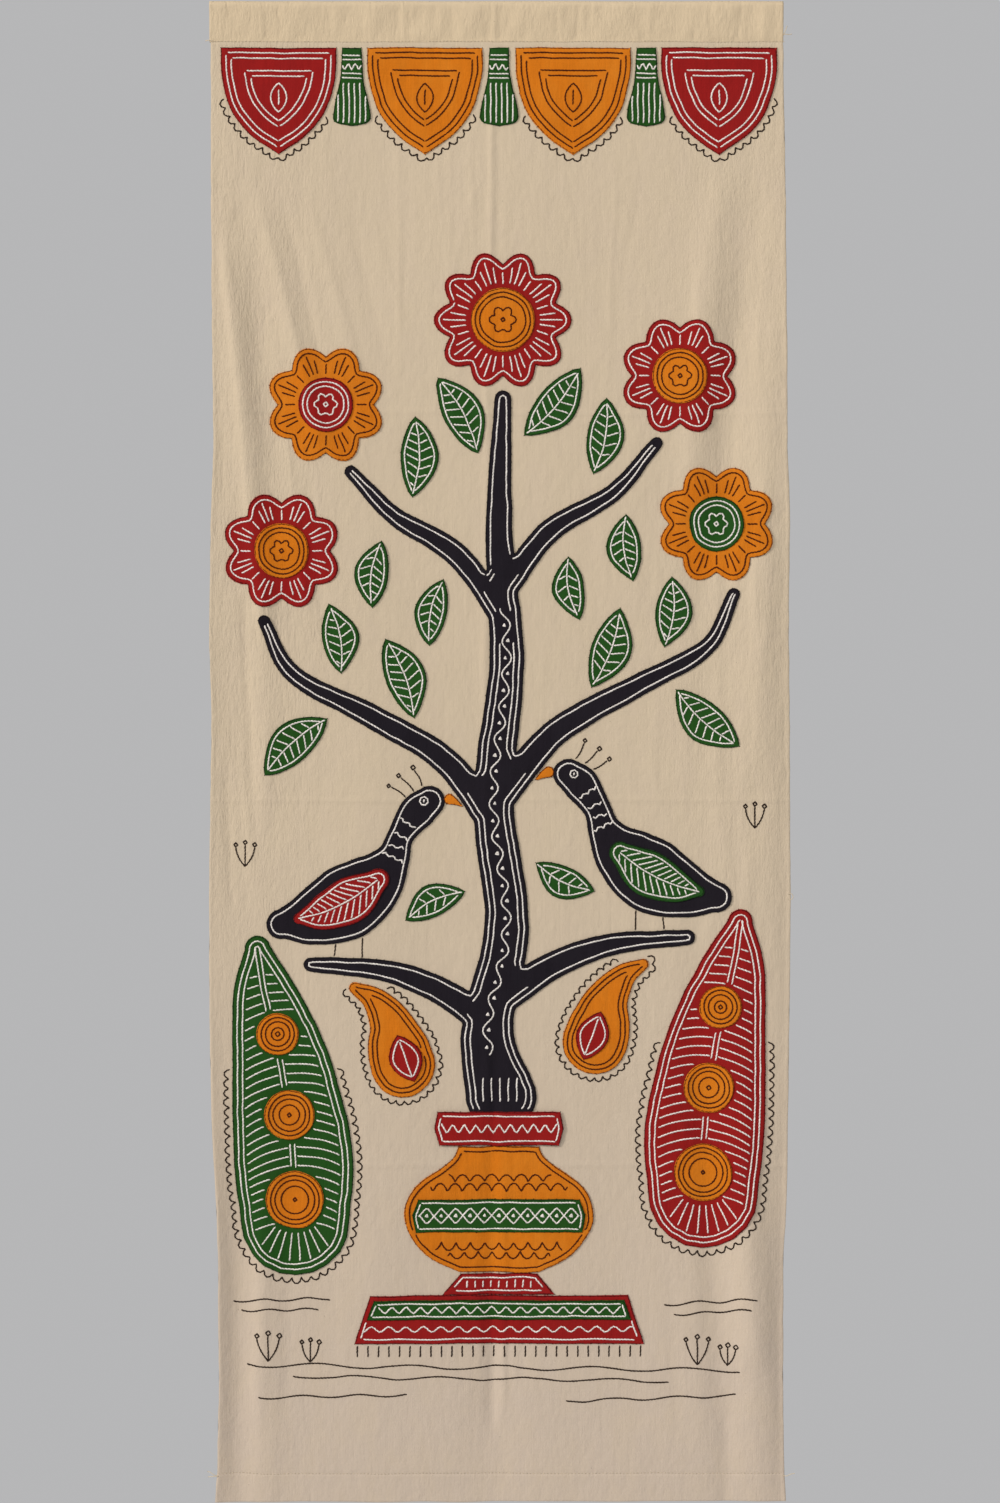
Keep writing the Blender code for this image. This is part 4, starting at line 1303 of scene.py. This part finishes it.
def add_stitches(name, colour, verts, records, template):
    """One piece of many stitches; verts and records hold an array for each corner of a stitch."""
    firsts = np.arange(len(verts[0])) * len(verts)
    faces = (np.array(template)[None] + firsts[:, None, None]).reshape(-1, 3).tolist()
    verts, records = [np.stack(parts, axis=1).reshape(-1, 3) for parts in (verts, records)]
    add_piece(name, verts, faces, THREAD_MATERIALS[colour], records)


def back_stitch_meshes():
    """Small stitches of the embroidery that come through on the panel's back."""
    for colour in SHOWN_BEHIND:
        rows = np.vstack(stitches[colour])
        rows = rows[rows[:, 1] > PANEL_TOP + 2]
        start, end, half = rows[:, :2], rows[:, 2:4], rows[:, 4:] / 2 * 0.8
        middle = (start + end) / 2 + dice.uniform(-0.3, 0.3, (len(rows), 2))
        run = (end - start) * dice.uniform(0.26, 0.36, (len(rows), 1))
        side = quarter_turned(unit(run))
        back = -PANEL_THICK / 2 - np.where(middle[:, 1:] > HEM_TOP, HEM_EXTRA, 0)
        shades = dice.uniform(0, 1, len(rows))
        verts, records = [], []
        for forward, sidewise, up in BACK_STITCH_CORNERS:
            spot = middle + run * forward + side * half * sidewise
            lift = cloth_lift(spot[:, 0], spot[:, 1])[:, None] + back + half * up
            verts.append(np.column_stack([spot, lift]))
            thread_place = np.full((len(rows), 2), (2.0 + 2 * forward, sidewise / 4))
            records.append(np.column_stack([thread_place, shades]))
        add_stitches(f"{colour}_back_stitches", colour, verts, records, BACK_STITCH_FACES)


def sleeve_face_lift(points):
    """Lift of the sleeve's front wall, for stitches that lie above the seam."""
    share = np.clip((SLEEVE_BOTTOM - points[:, 1]) / (SLEEVE_BOTTOM - SLEEVE_CORE - SLEEVE_WALL), 0, 1)
    return -SLEEVE_MIDDLE + SLEEVE_WALL + share * SLEEVE_CORE


def stitch_mesh(name, rows, colour):
    start, end, half = rows[:, :2], rows[:, 2:4], rows[:, 4] / 2
    run = end - start
    lengths = np.linalg.norm(run, axis=1)
    side = quarter_turned(unit(run))
    shades = dice.uniform(0, 1, len(rows))
    verts, records = [], []
    for share, girth, raised in STATIONS:
        place = start + run * share
        on_sleeve = place[:, 1] < SLEEVE_BOTTOM
        lift = np.where(on_sleeve, sleeve_face_lift(place), surface_lift(place)) + raised * half
        corners = ((0, 0),) if girth == 0 else ((1, 0), (0, 1), (-1, 0), (0, -1))
        for turn, (sidewise, up) in enumerate(corners):
            spot = place + side * (sidewise * girth * half)[:, None]
            verts.append(np.column_stack([spot, lift + up * girth * half * 0.8]))
            records.append(np.column_stack([share * lengths, np.full(len(rows), turn / 4), shades]))
    template = [(0, 1 + turn, 1 + (turn + 1) % 4) for turn in range(4)]
    for level in (1, 5):
        for turn in range(4):
            after = (turn + 1) % 4
            template.append((level + turn, level + 4 + turn, level + 4 + after))
            template.append((level + turn, level + 4 + after, level + after))
    template += [(13, 9 + (turn + 1) % 4, 9 + turn) for turn in range(4)]
    add_stitches(name, colour, verts, records, template)


LOOSE_ENDS = [  # name, radius, rows of across, depth, lift
    ("top_left_end", 0.45, [(-298, 41.5, 1.2), (-302, 41.2, 1.5), (-305.5, 41.8, 0.8)]),
    ("top_right_end_1", 0.4, [(294.5, 37, 1.5), (296.4, 34, 2.2), (298, 30, 2.0), (299.5, 26, 1.2)]),
    ("top_right_end_2", 0.4, [(294, 37.5, 1.5), (297, 35, 2.2), (301, 35.4, 1.6), (304.5, 34.5, 0.8)]),
    ("right_edge_loop", 0.35, [(301, 929, 1.0), (304, 928.5, 1.4), (306, 931.5, 1.2), (304, 934.5, 1.0),
                               (301, 934, 0.8)]),
    ("bottom_left_end_1", 0.4, [(-292, 1533, 1.2), (-296, 1532, 1.8), (-300, 1529.5, 1.4),
                                (-303, 1529, 0.8)]),
    ("bottom_left_end_2", 0.4, [(-292, 1533.5, 1.2), (-296, 1533.6, 1.6), (-302.5, 1534.5, 0.9)]),
    ("bottom_right_end", 0.4, [(295, 1533.5, 1.2), (299, 1534, 1.8), (303, 1532, 1.6), (307.5, 1531, 0.8)])]


END_SIDES = 8


def make_loose_ends():
    """Short thread ends left at the corners of the seams."""
    for name, radius, rows in LOOSE_ENDS:
        path = smooth(rows, 8)
        if path[0, 1] > PANEL_TOP:
            path[:, 2] += cloth_lift(path[:, 0], path[:, 1])
        runs = directions(path)
        side = unit(np.cross(runs, (0, 0, 1.0)))
        up = np.cross(side, runs)
        angles = 2 * math.pi * np.arange(END_SIDES) / END_SIDES
        rings = [path + radius * (side * math.cos(angle) + up * math.sin(angle)) for angle in angles]
        verts = np.stack(rings, axis=1)
        count = len(path)
        index = np.arange(count * END_SIDES).reshape(count, END_SIDES)
        faces = []
        for here, after in zip(index, index[1:]):
            faces += strip_faces(np.append(here, here[0]), np.append(after, after[0]))
        faces += [index[0, ::-1].tolist(), index[-1].tolist()]
        along = np.repeat(path_lengths(path), END_SIDES)
        around = np.tile(np.arange(END_SIDES) / END_SIDES, count)
        records = np.column_stack([along, around, np.full(len(along), 0.8)])
        add_piece(name, verts.reshape(-1, 3), faces, THREAD_MATERIALS["cream"], records)


def make_world_and_lights():
    world = bpy.data.worlds.new("studio")
    bpy.context.scene.world = world
    world.use_nodes = True
    background = world.node_tree.nodes['Background']
    background.inputs['Color'].default_value = (0.80, 0.80, 0.81, 1)
    background.inputs['Strength'].default_value = 0.588
    lights = [  # name, kind, place, aimed at, size or angle, strength, colour
        ("key", 'SUN', (-3.9, -2.6, 1.2), (0, 0, -0.7), 0.22, 2.2, (1.0, 0.955, 0.89)),
        ("upper_fill", 'AREA', (-0.4, -2.1, 0.7), (0, 0, -0.28), 1.3, 12.2, (1.0, 0.92, 0.78)),
        ("middle_fill", 'AREA', (0.9, -2.2, -0.75), (0.2, 0, -0.85), 0.8, 3.2, (0.97, 0.98, 1.0)),
        ("lower_fill", 'AREA', (0.8, -2.7, -1.3), (0, 0, -1.3), 1.0, 0.9, (0.74, 0.84, 1.0))]
    for name, kind, place, aim, size, power, colour in lights:
        data = bpy.data.lights.new(name, kind)
        if kind == 'SUN':
            data.angle = size
        else:
            data.size = size
        data.energy = power
        data.color = colour
        lamp = add_object(name, data)
        lamp.location = place
        lamp.rotation_euler = (Vector(aim) - Vector(place)).to_track_quat('-Z', 'Y').to_euler()


def make_floor():
    mesh = bpy.data.meshes.new("floor")
    half, front, back, level = 3.0, -4.5, 1.6, -2.1
    corners = [(-half, front, level), (half, front, level), (half, back, level), (-half, back, level)]
    mesh.from_pydata(corners, [], [(0, 1, 2, 3)])
    paper = Shading("floor_paper")
    paper.inputs['Base Color'].default_value = (0.72, 0.72, 0.72, 1)
    paper.inputs['Roughness'].default_value = 0.8
    mesh.materials.append(paper.material)
    add_object("floor", mesh)


def make_camera():
    data = bpy.data.cameras.new("camera")
    data.lens = 85
    data.sensor_width = 36
    data.clip_end = 50
    camera = add_object("camera", data)
    camera.location = (0.001, -3.69, -0.7805)
    camera.rotation_euler = (math.pi / 2, 0, 0)
    bpy.context.scene.camera = camera


make_camera()
make_world_and_lights()
make_floor()
panel = make_panel()
sleeve = make_sleeve()
make_patches()
embroider_everything()
slip_stitch_and_edge_shade()
sew_seams()
stitch_meshes()
back_stitch_meshes()
make_loose_ends()

bpy.context.scene.view_settings.view_transform = 'Standard'
